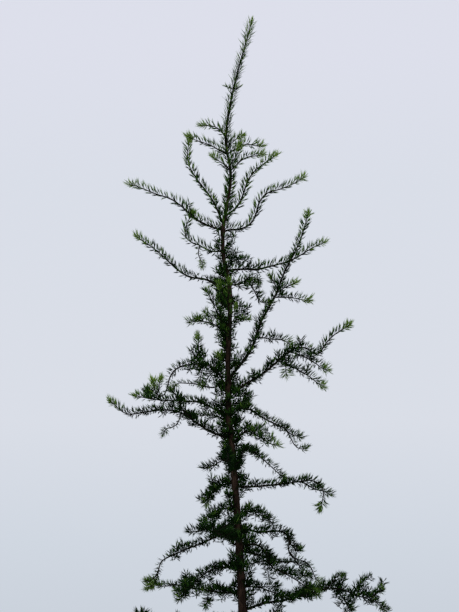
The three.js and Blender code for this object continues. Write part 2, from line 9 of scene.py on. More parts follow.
import bpy
import numpy as np
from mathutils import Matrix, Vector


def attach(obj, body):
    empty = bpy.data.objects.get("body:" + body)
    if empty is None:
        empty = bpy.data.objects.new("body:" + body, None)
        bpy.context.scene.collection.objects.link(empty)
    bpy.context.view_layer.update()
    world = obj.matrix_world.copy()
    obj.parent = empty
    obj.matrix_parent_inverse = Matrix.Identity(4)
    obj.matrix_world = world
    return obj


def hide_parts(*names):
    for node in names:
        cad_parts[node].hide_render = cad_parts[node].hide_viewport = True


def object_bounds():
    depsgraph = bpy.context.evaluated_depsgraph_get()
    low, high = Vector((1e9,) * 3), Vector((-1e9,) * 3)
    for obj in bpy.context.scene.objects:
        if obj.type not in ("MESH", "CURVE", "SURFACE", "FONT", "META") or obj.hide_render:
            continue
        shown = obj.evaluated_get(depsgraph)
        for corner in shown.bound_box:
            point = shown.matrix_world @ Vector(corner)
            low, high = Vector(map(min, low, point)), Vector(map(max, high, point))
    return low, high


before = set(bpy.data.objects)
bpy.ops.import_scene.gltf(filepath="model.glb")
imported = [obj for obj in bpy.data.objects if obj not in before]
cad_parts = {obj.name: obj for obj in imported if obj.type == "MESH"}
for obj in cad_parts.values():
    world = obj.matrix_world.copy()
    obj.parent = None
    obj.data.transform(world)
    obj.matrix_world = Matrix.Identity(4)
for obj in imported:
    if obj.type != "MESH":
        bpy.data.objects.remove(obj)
CAD_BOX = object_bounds()

METRE = 0.001
UP = np.array([0.0, 0.0, 1.0])

# Sizes of the whole tree
TREE_HEIGHT = 3200
TRUNK_TOP = 2740

# Trunk: radius = tip + taper + swell towards the ground + root flare
TIP_RADIUS = 1.5
TAPER = 0.0058
SWELL = 6
SWELL_HEIGHT = 2000
FLARE = 14
FLARE_HEIGHT = 70
ROOT_LOBES = 4
LOBE_DEPTH = 0.3

# The trunk's and leader's centre line: height, how far right and how far back
CENTRE_LINE = np.array([
    (0, 0, 0), (400, -6, 6), (800, -2, 10), (1200, -9, 6), (1600, -20, 0), (1800, -30, 2),
    (2000, -45, 4), (2150, -57, 3), (2300, -55, 0), (2430, -52, -2), (2520, -68, 0),
    (2600, -70, 2), (2750, -50, 2), (2850, -63, 0), (2950, -51, 0), (3040, -32, 0), (3120, -10, 0),
    (TREE_HEIGHT, 10, 0),
], float)

# Limbs and twigs: how they are divided, how thick they are and how their heading sways
WALK_STEP = 12
LEAST_STEPS = 3
LIMB_TIP_RADIUS = 1.1
CORE_RADIUS = 5
CORE_WIDENING = 0.06
UPPER_THICKENING = 0.0062
LOWER_THICKENING = 0.0105
TWIG_THICKENING = 0.008
TAPER_POWER = 0.85
HEADING_SWAY = 12
SWAYS_PER_LIMB = 1.5
SWAY_SHIFT = 0.37
GOLDEN_ANGLE = 137.5

# Room that a twig, a sprig or a needle leaves round what isn't its own, and how that is looked for
TWIG_ROOM = 14
TWIG_ROOT_NODES = 2
NEEDLE_ROOM = 2.5
SPRIG_ROOM = 8
SEARCH_REACH = 60
TRUNK_ROOM = 0.8
BOX_ROOM = 1
POINTS_AT_ONCE = 4000

# The limbs of the upper tree, from the top down: height, heading, length, climbs, then what one may
# have besides. Shares are of its length, and twigs are counted from 0.
# twigs: where each leaves the limb, as a share, then its turn, length and climbs
# shoots: how many more twigs it has by the seeded rule
# bough: the share that is a bough
# wiry: the shares between which it is thin of needles; twigs beyond the first are wiry too
# wiry_twigs, dull_twigs: those that are thin of needles, and those with duller tips
# bare: the shares between which it has no needles of its own
# needles: how long its needles are, against the usual
# vigour: how fresh its tips are
# fuller: how many times the usual sprigs it has, up to what share, and how long they are
UPPER_LIMBS = [
    (2640, 32, 275, [30, 40, 64, 74, 56, 38, 36, 36], {}),
    (2612, 152, 290, [72, 64, 54, 52, 60, 88, 112], {}),
    (2599, 205, 292, [16, 15, 19, 31, 33, 27, 11, 20, 12, -4], {"fuller": (2.4, 0.42)}),
    (2596, -24, 282, [18, -2, 20, 58, 74, 46, 8, 18, 22, 28], {}),
    (2540, 150, 205, [18, 6, 26, 32, 22, 52, 100, 130, 118],
     {"twigs": [(0.42, 20, 62, [-70, -90, -125, -80])], "wiry_twigs": [0]}),
    (2490, 26, 335, [6, 10, 4, 18, 18, 18, 32, 34, 28, 20], {"fuller": (2.4, 0.36)}),
    (2450, -38, 168, [-8, 4, -6, -30, -66, -66, -8, 2],
     {"twigs": [(0.3, 30, 62, [70, 20, -40, -110]), (0.5, -30, 54, [60, 10, -70])],
      "wiry_twigs": [0, 1], "wiry": (0.8, 1), "vigour": 0.2, "fuller": (3, 0.7)}),
    (2428, 152, 365, [36, 30, 28, 6, 34, 44, 42, 36, 34, 38], {}),
    (2392, 102, 215, [26, 24, 30, 36], {"vigour": 0.3}),
    (2336, -138, 122, [38, 48, 58], {"shoots": 1, "vigour": 0.4}),
    (2316, 212, 128, [38, 10, -18], {"shoots": 1, "vigour": 0.4}),
    (2298, -92, 195, [25, 50, 70],
     {"twigs": [(0.35, 78, 55, [20, 0, -10])], "shoots": 2, "wiry_twigs": [1], "bare": (0.2, 0.5),
      "vigour": 0.6, "needles": 0.7}),
    (2240, 98, 300, [34, 40, 42, 36], {"shoots": 1, "vigour": 0.3}),
    (2190, 8, 520, [61, 50, 59, 76, 60, 62, 72, 61, 66, 72, 74],
     {"bough": 0.24,
      "twigs": [(0.27, -30, 100, [-4, -12, -4, -70]), (0.5, 20, 104, [5, -8]),
                (0.53, -20, 62, [36, 10]), (0.56, 170, 42, [60, 60])], "fuller": (1.6, 0.4)}),
    (2174, 208, 314, [40, 58, 34, 6, -6, -20, -50, -78, -60, 60, 85],
     {"twigs": [(0.34, 0, 78, [88, 85]), (0.12, -30, 60, [85, 80]),
                (0.06, -20, 150, [-60, -10, 14, 4, 0, -65]), (0.3, 50, 62, [-50, -75]),
                (0.18, -50, 56, [-30, -65])],
      "wiry_twigs": [2, 5], "dull_twigs": [3, 4], "shoots": 1, "wiry": (0.62, 0.84),
      "fuller": (5, 0.42, 1.3)}),
    (2160, -22, 405, [14, 26, 22, 26, 36, 44, 34, 0, -46, 56, 40, 24, 36],
     {"bough": 0.3,
      "twigs": [(0.42, 20, 140, [-26, -17, -31, -37, -26]),
                (0.5, -20, 132, [-14, -22, -30, -40, -15]), (0.46, -40, 56, [-85, -85])],
      "fuller": (2.4, 0.6)}),
    (2119, 25, 275, [6, 6, 0, -28, -28, -22, -22, -60, -56, -10, 30],
     {"shoots": 2, "wiry": (0.66, 1), "vigour": 0.2}),
    (2092, 158, 298, [58, 22, 30, 8, 6, 2, 8, 14, 14],
     {"shoots": 2, "wiry_twigs": [0], "dull_twigs": [0], "fuller": (1.6, 0.8)}),
    (2064, 132, 170, [50, 44, 26, 10, 4, 0, -6], {"shoots": 1, "vigour": 0.5}),
    (2040, 200, 364, [20, 11, 24, 32, 32, 5, -8, -13, -9, 38, 38],
     {"twigs": [(0.42, 10, 80, [-85, -60, -9, -80])], "wiry_twigs": [0], "shoots": 1,
      "fuller": (2.4, 0.6)}),
    (2024, -38, 176, [52, 26, -30, -31, -5], {"shoots": 1, "fuller": (3, 0.85, 1.2)}),
    (2006, 35, 190, [22, 8, -22, -40, -36, -22], {"shoots": 1, "vigour": 0.2}),
    (1962, -96, 260, [5, 0, 5, 15], {"shoots": 2, "vigour": 0.1, "fuller": (2, 0.8)}),
    (1928, 145, 114, [0, -10, -45, -70], {"shoots": 1, "vigour": 0.8, "fuller": (6, 0.98, 1.5)}),
    (1920, -25, 306, [-14, 0, 4, 4, 4, 4, 4, -36, -100, -110],
     {"shoots": 1, "wiry": (0.74, 0.91), "vigour": 0.5}),
    (1868, 215, 132, [0, -28, -46, -34], {"shoots": 2, "vigour": 0.2, "fuller": (3, 0.95)}),
    (1842, 40, 146, [18, 24, -26, -24, -80], {"shoots": 1, "vigour": 0.1, "fuller": (3, 0.95)}),
    (1814, 20, 320, [-10, -12, -12, 6, 8, -8, -50, -108, -60, -10, -20, -60, -66, -20],
     {"shoots": 2, "wiry_twigs": [1], "wiry": (0.5, 0.97), "vigour": 0.9, "fuller": (2.4, 0.5)}),
    (1806, 202, 308, [-8, -14, -26, -24, -20, -22, -20, -26, -85, -65, -20],
     {"shoots": 1, "wiry": (0.66, 0.93), "vigour": 1.1, "fuller": (2.8, 0.62, 1.2)}),
    (1788, -102, 300, [0, -5, 5, 20], {"shoots": 3, "vigour": 0.1, "fuller": (2, 0.8)}),
    (1770, -30, 272, [0, 0, -42, -75, -20, -24, -34, -34, -30],
     {"twigs": [(0.3, -40, 80, [-60, -85, -60, -80])], "shoots": 2, "vigour": 0.6, "fuller": (1.8, 0.5)}),
    (1752, 62, 380, [0, -12, 6, -14],
     {"shoots": 3, "wiry_twigs": [1, 2], "wiry": (0.5, 1), "vigour": 0.1, "fuller": (1.6, 0.5)}),
    (1712, 222, 240, [-2, -2, -4, -26, -46, -36, -26],
     {"shoots": 3, "vigour": 0.5, "fuller": (3, 0.8, 1.3)}),
    (1660, -44, 180, [10, -4, -16, -20, -12], {"shoots": 2, "vigour": 0.2}),
    (1647, 158, 266, [0, 3, 9, 9, 10, 2, 15],
     {"twigs": [(0.35, 0, 42, [-80, -80])], "shoots": 4, "wiry": (0.62, 0.9), "wiry_twigs": [3],
      "vigour": 1.1, "fuller": (2.2, 0.6, 1.4)}),
    (1602, 6, 392, [22, 20, 8, 8, 16, 14, 16, 0, -27, -14, -22, -50],
     {"bough": 0.28, "twigs": [(0.8, 0, 42, [70, 60])], "shoots": 4, "wiry_twigs": [2],
      "fuller": (2.4, 0.97, 1.4)}),
]

# The leader's own side shoots: height, heading, length, climbs
LEADER_TWIGS = [
    (2994, 180, 24, [25, 15]),
    (2990, 5, 22, [25, 20]),
    (2858, 172, 82, [55, 40, 10, -5]),
    (2818, -25, 108, [30, 20, -16, -10]),
    (2828, 15, 62, [60, 25]),
    (2815, 205, 124, [14, 18, 14, 8]),
    (2768, 24, 118, [48, 45, 15, 18]),
    (2776, -35, 66, [48, 62]),
    (2762, 200, 64, [42, 34, 20]),
]

# Sprigs that stand on the trunk where the picture shows them: height, heading, length, climb
TRUNK_SPRIGS = [
    (2552, 8, 30, 26), (2524, 4, 62, -12), (2514, -20, 44, -4), (2529, -12, 36, 8),
    (2405, 6, 20, 10), (2388, 14, 30, 8), (2378, 8, 44, 0), (2366, -10, 42, -6), (2352, 0, 32, -4),
    (2340, 10, 14, 20), (2306, -6, 12, 10), (2277, 8, 14, 16), (2244, -8, 30, 30),
    (2232, 12, 36, 20), (2222, -30, 32, 30), (2164, -8, 50, -10), (2152, 14, 66, 4),
    (2146, -40, 40, 10), (2136, -96, 30, 20), (2128, 4, 48, 16), (2112, -24, 38, 0),
    (2096, -70, 30, 20), (2084, 20, 34, 10), (2070, -50, 26, 20), (2050, -110, 24, 10),
]

# The limbs of the lower tree: evenly down the trunk, each turned on by the golden angle
LOWER_SEED = 100
LOWER_LIMB_COUNT = 13
LOWER_TOP = 1550
LOWER_DROP = 94
LOWER_FIRST_HEADING = 100
LOWER_LENGTH = 430
LOWER_LENGTHENING = 13
LOWER_LENGTH_SPREAD = 70
LOWER_BOUGH_COUNT = 6
LOWER_BOUGH = 0.3
LOWER_CLIMB_COUNT = 10
LOWER_FIRST_CLIMB = 16
LOWER_WANDER = 64
LOWER_SHOOTS = 6
LOWER_VIGOUR = 0.6
LOWER_FULLER = (2.6, 0.95, 1.3)

# Side shoots grown by the seeded rule, to the left and right in turn
SHOOT_FIRST = 0.16
SHOOT_LAST = 0.95
SHOOT_MARGIN = 0.05
SHOOT_SHARE = 0.36
SHOOT_FIRST_SIZE = 1.1
SHOOT_SHRINKING = 0.6
SHOOT_LEAST_SIZE = 0.7
SHOOT_SIZE_SPREAD = 0.6
SHOOT_TURN = 35
SHOOT_TURN_SPREAD = 45
SHOOT_CLIMB_COUNT = 4
SHOOT_WANDER = 80
WANDER_MEMORY = 0.6
WANDER_MIDDLE = 0.5

# The run of numbers that stands in for chance
SEED_STRIDE = 7919
SEED_START = 17
RUN_FACTOR = 16807
RUN_MODULUS = 2147483647

# Needles, and how far they differ in length and in their spread off a bundle's middle
NEEDLE_WIDTH = 1.4
NEEDLE_DEPTH = 0.6
NEEDLE_WIDEST = 0.42
NEEDLE_LENGTHS = (0.75, 1.1)
NEEDLE_SPREADS = (0.6, 1.4)
NEEDLES_PER_PIECE = 48000
LEAST_NEEDLES = 3

# How far a needle bends: off its bundle's middle, up, along the shoot, and by chance
BEND_OUT = 0.06
BEND_UP = 0.1
BEND_ALONG = 0.1
BEND_CHANCE = 0.06

# Needles and spurs start inside the wood, at a share of its radius, and this far from a line's root
ROOT_DEPTH = 0.7
ROOT_GAP = 6

# Where the crown's shoots are thinly dressed, and below what height they are thick with needles
THIN_ABOVE = 2440
THICK_BELOW = 2100

# Bundles of needles, one in each even part of a shoot, fewer and shorter on its underside
BUNDLE_PLACES = (0.3, 0.7)
BUNDLE_TURN_SPREAD = 20
BUNDLE_LEAN_SPREAD = 10
BUNDLE_LENGTHS = (0.82, 1.1)
BUNDLE_RISE = 0.3
UNDERSIDE = -0.3
UNDERSIDE_SHARE = 0.55
UNDERSIDE_SHORTENING = 0.35

# How long the newest growth is, at most and as a share of its shoot, and on the leader
NEW_GROWTH = 80
NEW_GROWTH_SHARE = 0.6
LOW_NEW_GROWTH_SHARE = 0.3
LEADER_NEW_GROWTH = 370

# Sprigs: small shoots on the inner part of the lower and the fuller limbs and their twigs
SPRIGS_BELOW = 2130
SPRIGS_FROM = 0.06
SPRIGS_TO = 0.62
SPRIG_SPACING = 42
SPRIG_PLACES = (0, 1)
SPRIG_TURN_SPREAD = 30
SPRIG_SWEEP = 0.55
SPRIG_RISE = 0.15
SPRIG_LENGTHS = (8, 24)
SPRIG_LIFT = 0.5
SPRIG_LIFTS = (-0.2, 1)
SPRIG_CURL = 0.6
SPRIG_RADIUS = 1.3
SPRIG_TAPER = 0.6
SPRIG_RINGS = 6
SPRIG_BARE = 0.1
SPRIG_FRESHNESS = 0.15
SMALL_SIDES = 5

# The stem, which is the trunk's upper part: needles at its top, and sprigs down it. Lower down these
# keep clear of its right and front, as told by the cosine and sine of their headings.
STEM_NEEDLES_FROM = 2596
STEM_NEEDLE_TONE = 0.2
STEM_TONE = 0.02
STEM_TOP = 2590
STEM_FOOT = 1990
STEM_SPRIG_COUNT = 90
STEM_DROPS = (6, 11)
STEM_LENGTHS = (12, 38)
STEM_CLIMB = 19.3
STEM_DEPTH = 0.8
STEM_FIRST_HEADING = 190
CLEAR_BELOW = 2460
CLEAR_RIGHT = 0.55
CLEAR_FRONT = -0.6

# Sprigs on the trunk about each limb's root, high up only at its back and left
COLLAR_SPRIGS_BELOW = 2500
COLLAR_SPRIG_COUNT = 5
COLLAR_RISES = (-20, 20)
COLLAR_LENGTHS = (8, 32)
HIGH_ABOVE = 2220
HIGH_HEADINGS = (80, 220)
LOW_HEADINGS = (-50, 230)

# A mass's tone: lighter the higher it leaves the trunk, and a little by chance
TONE = 0.08
TONE_RISE = 0.0003
TONE_HEIGHT = 2200
TONE_SPREAD = 0.04

# How fresh needles are: on top of a shoot's own tone, by the way left to its tip, and by chance from
# bundle to bundle and from needle to needle; and painted light, lighter on a shoot's upper side and
# darker on its underside
YOUNG_SHARE = 0.36
YOUNG_WAY = 0.24
YOUNG_WAY_MOST = 75
TIP_SHARE = 0.45
TIP_WAY = 18
TWIG_VIGOUR = 0.4
UPPER_SIDE_PAINTED_LIGHT = 0.09
BUNDLE_CHANCE = 0.15
NEEDLE_CHANCE = 0.05

# The tuft at a shoot's end, smaller on a small twig, and shorter on a stub and on the leader
TUFT_NEEDLES = 44
WIRY_TUFT_NEEDLES = 60
TUFT_LEAN = (10, 72)
TUFT_LEAN_SPREAD = 6
TUFT_RISE = 0.25
TUFT_LENGTH = 19
TUFT_LENGTHS = (0.65, 1.1)
TUFT_DEPTH = 18
TUFT_BEND_ALONG = 0.15
TUFT_BEND_UP = 0.05
TUFT_FRESHNESS = 0.8
TUFT_CHANCE = 0.24
SMALL_TWIG = 48
STUB_LENGTH = 30
STUB_NEEDLE_SIZE = 0.5
LEADER_TUFT_SIZE = 0.55
LEADER_END_GAP = 16

# Barrel-shaped spurs on older wood, below a height and up to a share of a line
SPURS_BELOW = 2450
SPURS_TO = 0.75
SPUR_SPACING = 14
SPUR_LENGTH = 3.2
SPUR_LENGTHS = (0.7, 1.7)
SPUR_RADIUS = 1.6
SPUR_RADII = (0.75, 1.1)
SPUR_PLACES = (0, 0.7)
SPUR_TURN_SPREAD = 25
SPUR_SWEEP = 0.3
SPUR_RISE = 0.35
SPUR_RINGS = np.array([0.0, 0.55, 1.0])
SPUR_SWELL = np.array([0.75, 1.0, 0.6])

# Ripples: how many waves are added, the most of them around, and the shortest one's length
RIDGES = (14, 9, 70)
FLAKES = (26, 15, 14)
SKIN_RIPPLE = (12, 3, 7)
RIPPLE_STRETCH = 3

# The trunk's bark, in full relief where the trunk is thick, and its collar under each limb, which is
# as high and long as so many of the limb's radii
TRUNK_SIDES = 52
TRUNK_RING_SPACING = 4.2
RIDGE_SEED = 5
RIDGE_HEIGHT = 0.7
FLAKE_SEED = 6
FLAKE_HEIGHT = 0.38
RELIEF_DEPTH = 0.5
FULL_RELIEF_RADIUS = 24
LEAST_RELIEF = 0.15
COLLAR_HEIGHT = 0.75
COLLAR_REACH = 2.2
COLLAR_MARGIN = 3
COLLAR_DROP = 2

# Skins of boughs, limbs and twigs: sides, spacing of rings, and roughness
BOUGH_SKIN = (14, 3, 0.07)
LIMB_SKIN = (7, 5, 0.1)
TWIG_SKIN = (5, 6, 0.1)
BOUGH_SEED = 40
LIMB_SEED = 200
TWIG_SEED = 900
TWIG_SEEDS = 20

# Finishes are roughness and gloss. Colours stand by their places in the noise that mixes them.
BARK_FINISH = (0.88, 0.06)
NEEDLE_FINISH = (0.55, 0.03)
FLOOR_FINISH = (0.9, 0.3)
BARK_COLOURS = [
    (0.30, (0.006, 0.004, 0.0025)),
    (0.50, (0.024, 0.014, 0.009)),
    (0.72, (0.066, 0.040, 0.026)),
]
YOUNG_BARK_COLOURS = [
    (0.30, (0.004, 0.004, 0.002)),
    (0.52, (0.010, 0.009, 0.005)),
    (0.75, (0.026, 0.020, 0.011)),
]
DEEP_PLACE = 0.34
PALE_PLACE = 0.66

# Needle kinds, from the deepest to the freshest, sorted by freshness and the painted light of upper
# sides: name, slot, two greens, and where the next begins
NEEDLE_KINDS = [
    ("needles_dark", "needles", (0.0025, 0.012, 0.0015), (0.007, 0.026, 0.0035), 0.14),
    ("needles_green", "needles", (0.019, 0.060, 0.007), (0.036, 0.098, 0.012), 0.38),
    ("needles_light", "needles", (0.082, 0.160, 0.020), (0.132, 0.230, 0.030), 0.84),
    ("needles_fresh", "fresh_needles", (0.170, 0.280, 0.045), (0.240, 0.360, 0.070), math.inf),
]

# The camera: its place in metres, its tilt in degrees, its sensor and lens in millimetres
CAMERA_PLACE = (-0.053, -4, 1.6)
CAMERA_TILT = 11.22
SENSOR_WIDTH = 36
LENS = 90.7

# The sky's colours from the horizon up, the sun's softness and turn in degrees, the floor in metres
SKY_COLOURS = [
    (0.0, (0.597, 0.645, 0.716)),
    (0.045, (0.631, 0.680, 0.753)),
    (0.12, (0.698, 0.729, 0.799)),
    (0.27, (0.698, 0.731, 0.808)),
    (0.35, (0.723, 0.740, 0.831)),
]
SUN_STRENGTH = 0.7
SUN_SOFTNESS = 50
SUN_TURN = (28, -18, 0)
FLOOR_SIZE = 18
FLOOR_COLOUR = (0.62, 0.63, 0.64, 1)

# A way that no limb runs, to start counting round from
ODD_WAY = np.array([0.031, 0.02, 0.093])

# What keeps a length off zero, and a way from running straight up
TINY = 1e-9
NUDGE = 1e-3

# Between which shares a line is wiry or bare
ALL_WIRY = (0, 1)
NOT_WIRY = (1, 1)
NOT_BARE = (0, 0)

NOBODY = -1
GROWTH_SEED = 2613
rng = np.random.default_rng(GROWTH_SEED)


def run_of(seed):
    """The same numbers between 0 and 1 for the same seed: state times a factor, less whole moduli."""
    state = seed * SEED_STRIDE + SEED_START

    def following():
        nonlocal state
        state = state * RUN_FACTOR % RUN_MODULUS
        return state / RUN_MODULUS

    return following


def rounded(value):
    """The nearest whole number, and the higher one halfway."""
    return math.floor(value + 0.5)


def normalised(vectors):
    """Each vector divided by its own length."""
    lengths = np.linalg.norm(vectors, axis=-1, keepdims=True)
    return vectors / np.maximum(lengths, TINY)


def way_of(heading, climb):
    """Unit vector at a heading round the level plane and a climb above it, both in degrees."""
    h, c = np.radians(heading), np.radians(climb)
    return np.stack([np.cos(c) * np.cos(h), np.cos(c) * np.sin(h), np.sin(c) + 0 * h], -1)


def cubic_shares(u):
    """How far a cubic has come at u, and what the slopes at its two ends add."""
    return 3 * u ** 2 - 2 * u ** 3, u ** 3 - 2 * u ** 2 + u, u ** 3 - u ** 2


def trunk_centre(heights):
    """Cubic through the listed places; at each place its slope is that between its two neighbours."""
    heights = np.asarray(heights, float)
    listed = CENTRE_LINE[:, 0]
    last = len(listed) - 1
    start = np.clip(np.searchsorted(listed, heights, side="left") - 1, 0, last - 1)
    before, after = np.maximum(start - 1, 0), np.minimum(start + 2, last)
    span = (listed[start + 1] - listed[start])[..., None]
    u = (heights[..., None] - listed[start][..., None]) / span
    sides = CENTRE_LINE[:, 1:]
    slope_from = (sides[start + 1] - sides[before]) / (listed[start + 1] - listed[before])[..., None]
    slope_to = (sides[after] - sides[start]) / (listed[after] - listed[start])[..., None]
    blend, first, second = cubic_shares(u)
    bend = first * slope_from + second * slope_to
    level = sides[start] + blend * (sides[start + 1] - sides[start]) + span * bend
    return np.concatenate([level, heights[..., None]], -1)


def trunk_radius(heights):
    """Tip radius, plus an even taper, plus a swell and a root flare that fade with height."""
    swell = SWELL * np.maximum(0, 1 - heights / SWELL_HEIGHT) ** 2
    flare = FLARE * np.exp(-heights / FLARE_HEIGHT)
    return TIP_RADIUS + TAPER * (TREE_HEIGHT - heights) + swell + flare


class Line:
    """Points in order along a limb, leader or twig, with the way it runs and its thickness at each."""

    def __init__(self, points, ways, headings, climbs):
        self.points = points
        self.ways = ways
        self.headings = headings
        self.climbs = climbs
        self.height = points[0, 2]
        self.length = np.linalg.norm(np.diff(points, axis=0), axis=1).sum()
        self.wiry = NOT_WIRY
        self.needle_size = 1
        self.owner = NOBODY
        self.tone = 0
        self.vigour = 1

    def set_radii(self, radii, distances):
        """The core is the wood, thickened with the distance from the root up to its full radius."""
        self.radii = radii
        self.cores = np.maximum(radii, np.minimum(CORE_RADIUS, radii + CORE_WIDENING * distances))
        return self

    def taper(self, base, tip):
        """Radius falls from base to tip with the share left, raised to a power."""
        k = np.arange(len(self.points))
        left = (1 - k / k[-1]) ** TAPER_POWER
        return self.set_radii(tip + (base - tip) * left, k * WALK_STEP)

    def node_at(self, share):
        return rounded(share * (len(self.points) - 1))


def walk(start, heading, length, climbs, phase):
    """Even steps from a start: the heading sways as a sine, and the climb runs through the list."""
    steps = max(LEAST_STEPS, rounded(length / WALK_STEP))
    share = np.minimum(np.arange(steps + 1) + 0.5, steps - 0.5) / steps
    climb = np.interp(share * (len(climbs) - 1), np.arange(len(climbs)), climbs)
    turned = heading + HEADING_SWAY * np.sin(2 * np.pi * (SWAYS_PER_LIMB * share + phase))
    ways = way_of(turned, climb)
    walked = np.vstack([np.zeros(3), np.cumsum(ways[:-1], axis=0)]) * (length / steps)
    return Line(start + walked, ways, turned, climb)


def wandering_climbs(first, count, wander, random):
    """Each climb is a share of the one before it plus a seeded step up or down."""
    climbs = [first]
    while len(climbs) < count:
        climbs.append(climbs[-1] * WANDER_MEMORY + wander * (random() - WANDER_MIDDLE))
    return climbs


def lower_limbs():
    """The lower limbs, in the terms of the listed ones."""
    limbs = []
    for k in range(LOWER_LIMB_COUNT):
        random = run_of(LOWER_SEED + k)
        spread = LOWER_LENGTH_SPREAD * (random() - WANDER_MIDDLE)
        length = LOWER_LENGTH + LOWER_LENGTHENING * k + spread
        climbs = wandering_climbs(LOWER_FIRST_CLIMB, LOWER_CLIMB_COUNT, LOWER_WANDER, random)
        more = {"shoots": LOWER_SHOOTS, "thickening": LOWER_THICKENING, "vigour": LOWER_VIGOUR,
                "fuller": LOWER_FULLER}
        if k >= LOWER_LIMB_COUNT - LOWER_BOUGH_COUNT:
            more["bough"] = LOWER_BOUGH
        height, heading = LOWER_TOP - LOWER_DROP * k, LOWER_FIRST_HEADING + GOLDEN_ANGLE * k
        limbs.append((height, heading, length, climbs, more))
    return limbs


def seeded_shoots(limb_length, more, line, random):
    """Side shoots of a limb by the seeded rule: at, turn, length, climbs."""
    count = more.get("shoots", 0)
    first = max(SHOOT_FIRST, more.get("bough", 0) + SHOOT_MARGIN)
    shoots = []
    for k in range(count):
        at = first + (SHOOT_LAST - first) * (k + random()) / count
        turn = (1 if k % 2 == 0 else -1) * (SHOOT_TURN + SHOOT_TURN_SPREAD * random())
        size = SHOOT_LEAST_SIZE + SHOOT_SIZE_SPREAD * random()
        length = limb_length * SHOOT_SHARE * (SHOOT_FIRST_SIZE - SHOOT_SHRINKING * at) * size
        climb = line.climbs[line.node_at(at)]
        climbs = wandering_climbs(climb * WANDER_MEMORY, SHOOT_CLIMB_COUNT, SHOOT_WANDER, random)
        shoots.append((at, turn, length, climbs))
    return shoots


class Mass:
    """A limb with its own line and twigs: a bough, where it has one, and the foliage that goes on."""

    def __init__(self, name, line, twigs, bough_nodes, more):
        self.name = name
        self.line = line
        self.twigs = twigs
        self.bough_nodes = bough_nodes
        self.bare = more.get("bare", NOT_BARE)
        self.wiry = more.get("wiry", NOT_WIRY)
        self.wiry_twigs = more.get("wiry_twigs", [])
        self.dull_twigs = more.get("dull_twigs", [])
        self.vigour = more.get("vigour", 1)
        fuller = more.get("fuller", (1, SPRIGS_TO))
        self.fuller, self.full_to, self.sprig_size = (*fuller, 1)[:3]
        self.needle_size = more.get("needles", 1)
        self.grown = []


def planned_limb(limb, index):
    """A limb's line out from the trunk's centre, its listed twigs and its seeded ones."""
    height, heading, length, climbs, more = limb
    line = walk(trunk_centre(height), heading, length, climbs, SWAY_SHIFT * index)
    line.taper(LIMB_TIP_RADIUS + more.get("thickening", UPPER_THICKENING) * length, LIMB_TIP_RADIUS)
    twigs = [*more.get("twigs", []), *seeded_shoots(length, more, line, run_of(index + 1))]
    bough_nodes = line.node_at(more["bough"]) if "bough" in more else 0
    return Mass(f"{index + 1:02d}", line, twigs, bough_nodes, more)


def planned_leader():
    """The leader goes on from the trunk's top, with side shoots that leave it at their heights."""
    reach = TREE_HEIGHT - TRUNK_TOP
    count = rounded(reach / WALK_STEP)
    heights = TRUNK_TOP + reach * np.arange(count + 1) / count
    points = trunk_centre(heights)
    ways = normalised(np.diff(points, axis=0))
    level = np.zeros(count + 1)
    line = Line(points, np.vstack([ways, ways[-1:]]), level, level + 90)
    line.set_radii(trunk_radius(heights), heights - TRUNK_TOP)
    twigs = [((height - TRUNK_TOP) / reach, *rest) for height, *rest in LEADER_TWIGS]
    return Mass("leader", line, twigs, 0, {})


def twig_line(parent, twig, order):
    """A twig's line from a node of its limb, no thicker than the limb is there."""
    at, turn, length, climbs = twig
    root = parent.node_at(at)
    line = walk(parent.points[root], parent.headings[root] + turn, length, climbs, SWAY_SHIFT * order)
    base = min(LIMB_TIP_RADIUS + TWIG_THICKENING * length, parent.radii[root])
    return line.taper(base, min(LIMB_TIP_RADIUS, base))


def trunk_distance(points):
    """Level distance to the trunk's surface; past the trunk's top nothing is near."""
    heights = np.maximum(points[..., 2], 0)
    away = points[..., :2] - trunk_centre(np.minimum(heights, TREE_HEIGHT))[..., :2]
    distance = np.linalg.norm(away, axis=-1) - trunk_radius(heights)
    return np.where(points[..., 2] > TRUNK_TOP, np.inf, distance)


class Placed:
    """Every node that has been given its room: where, how thick, whose, and whether it is a bough's."""

    def __init__(self):
        self.points = np.zeros((0, 3))
        self.cores = np.zeros(0)
        self.owners = np.zeros(0, int)
        self.boughs = np.zeros(0, bool)

    def add(self, points, cores, owner, boughs):
        self.points = np.vstack([self.points, points])
        self.cores = np.append(self.cores, cores)
        self.owners = np.append(self.owners, np.full(len(points), owner))
        self.boughs = np.append(self.boughs, boughs)

    def distance(self, points, chosen):
        """From each point to the surface of the nearest of the chosen nodes, thick as it is."""
        others, cores = self.points[chosen], self.cores[chosen]
        found = np.full(len(points), np.inf)
        if len(others) == 0:
            return found
        for first in range(0, len(points), POINTS_AT_ONCE):
            some = slice(first, first + POINTS_AT_ONCE)
            apart = np.linalg.norm(points[some, None] - others[None], axis=-1)
            found[some] = (apart - cores).min(axis=1)
        return found


def grow_twigs(masses):
    """Grows the twigs in turn, but none that comes too near another mass, a bough or the trunk."""
    placed = Placed()
    for owner, mass in enumerate(masses):
        line = mass.line
        is_bough = np.arange(len(line.points)) < mass.bough_nodes
        placed.add(line.points, np.where(is_bough, line.radii, line.cores), owner, is_bough)
    for owner, mass in enumerate(masses):
        for order, twig in enumerate(mass.twigs):
            line = twig_line(mass.line, twig, order)
            outer = line.points[TWIG_ROOT_NODES:]
            others = (placed.owners != owner) | placed.boughs
            room = min(trunk_distance(outer).min(), placed.distance(outer, others).min())
            if room <= TWIG_ROOM:
                continue
            if order in mass.wiry_twigs or twig[0] >= mass.wiry[0]:
                line.wiry = ALL_WIRY
            if order in mass.dull_twigs or mass.line.height < THICK_BELOW:
                line.vigour = TWIG_VIGOUR
            mass.grown.append(line)
            placed.add(line.points, line.cores, owner, np.zeros(len(line.points), bool))
    return placed


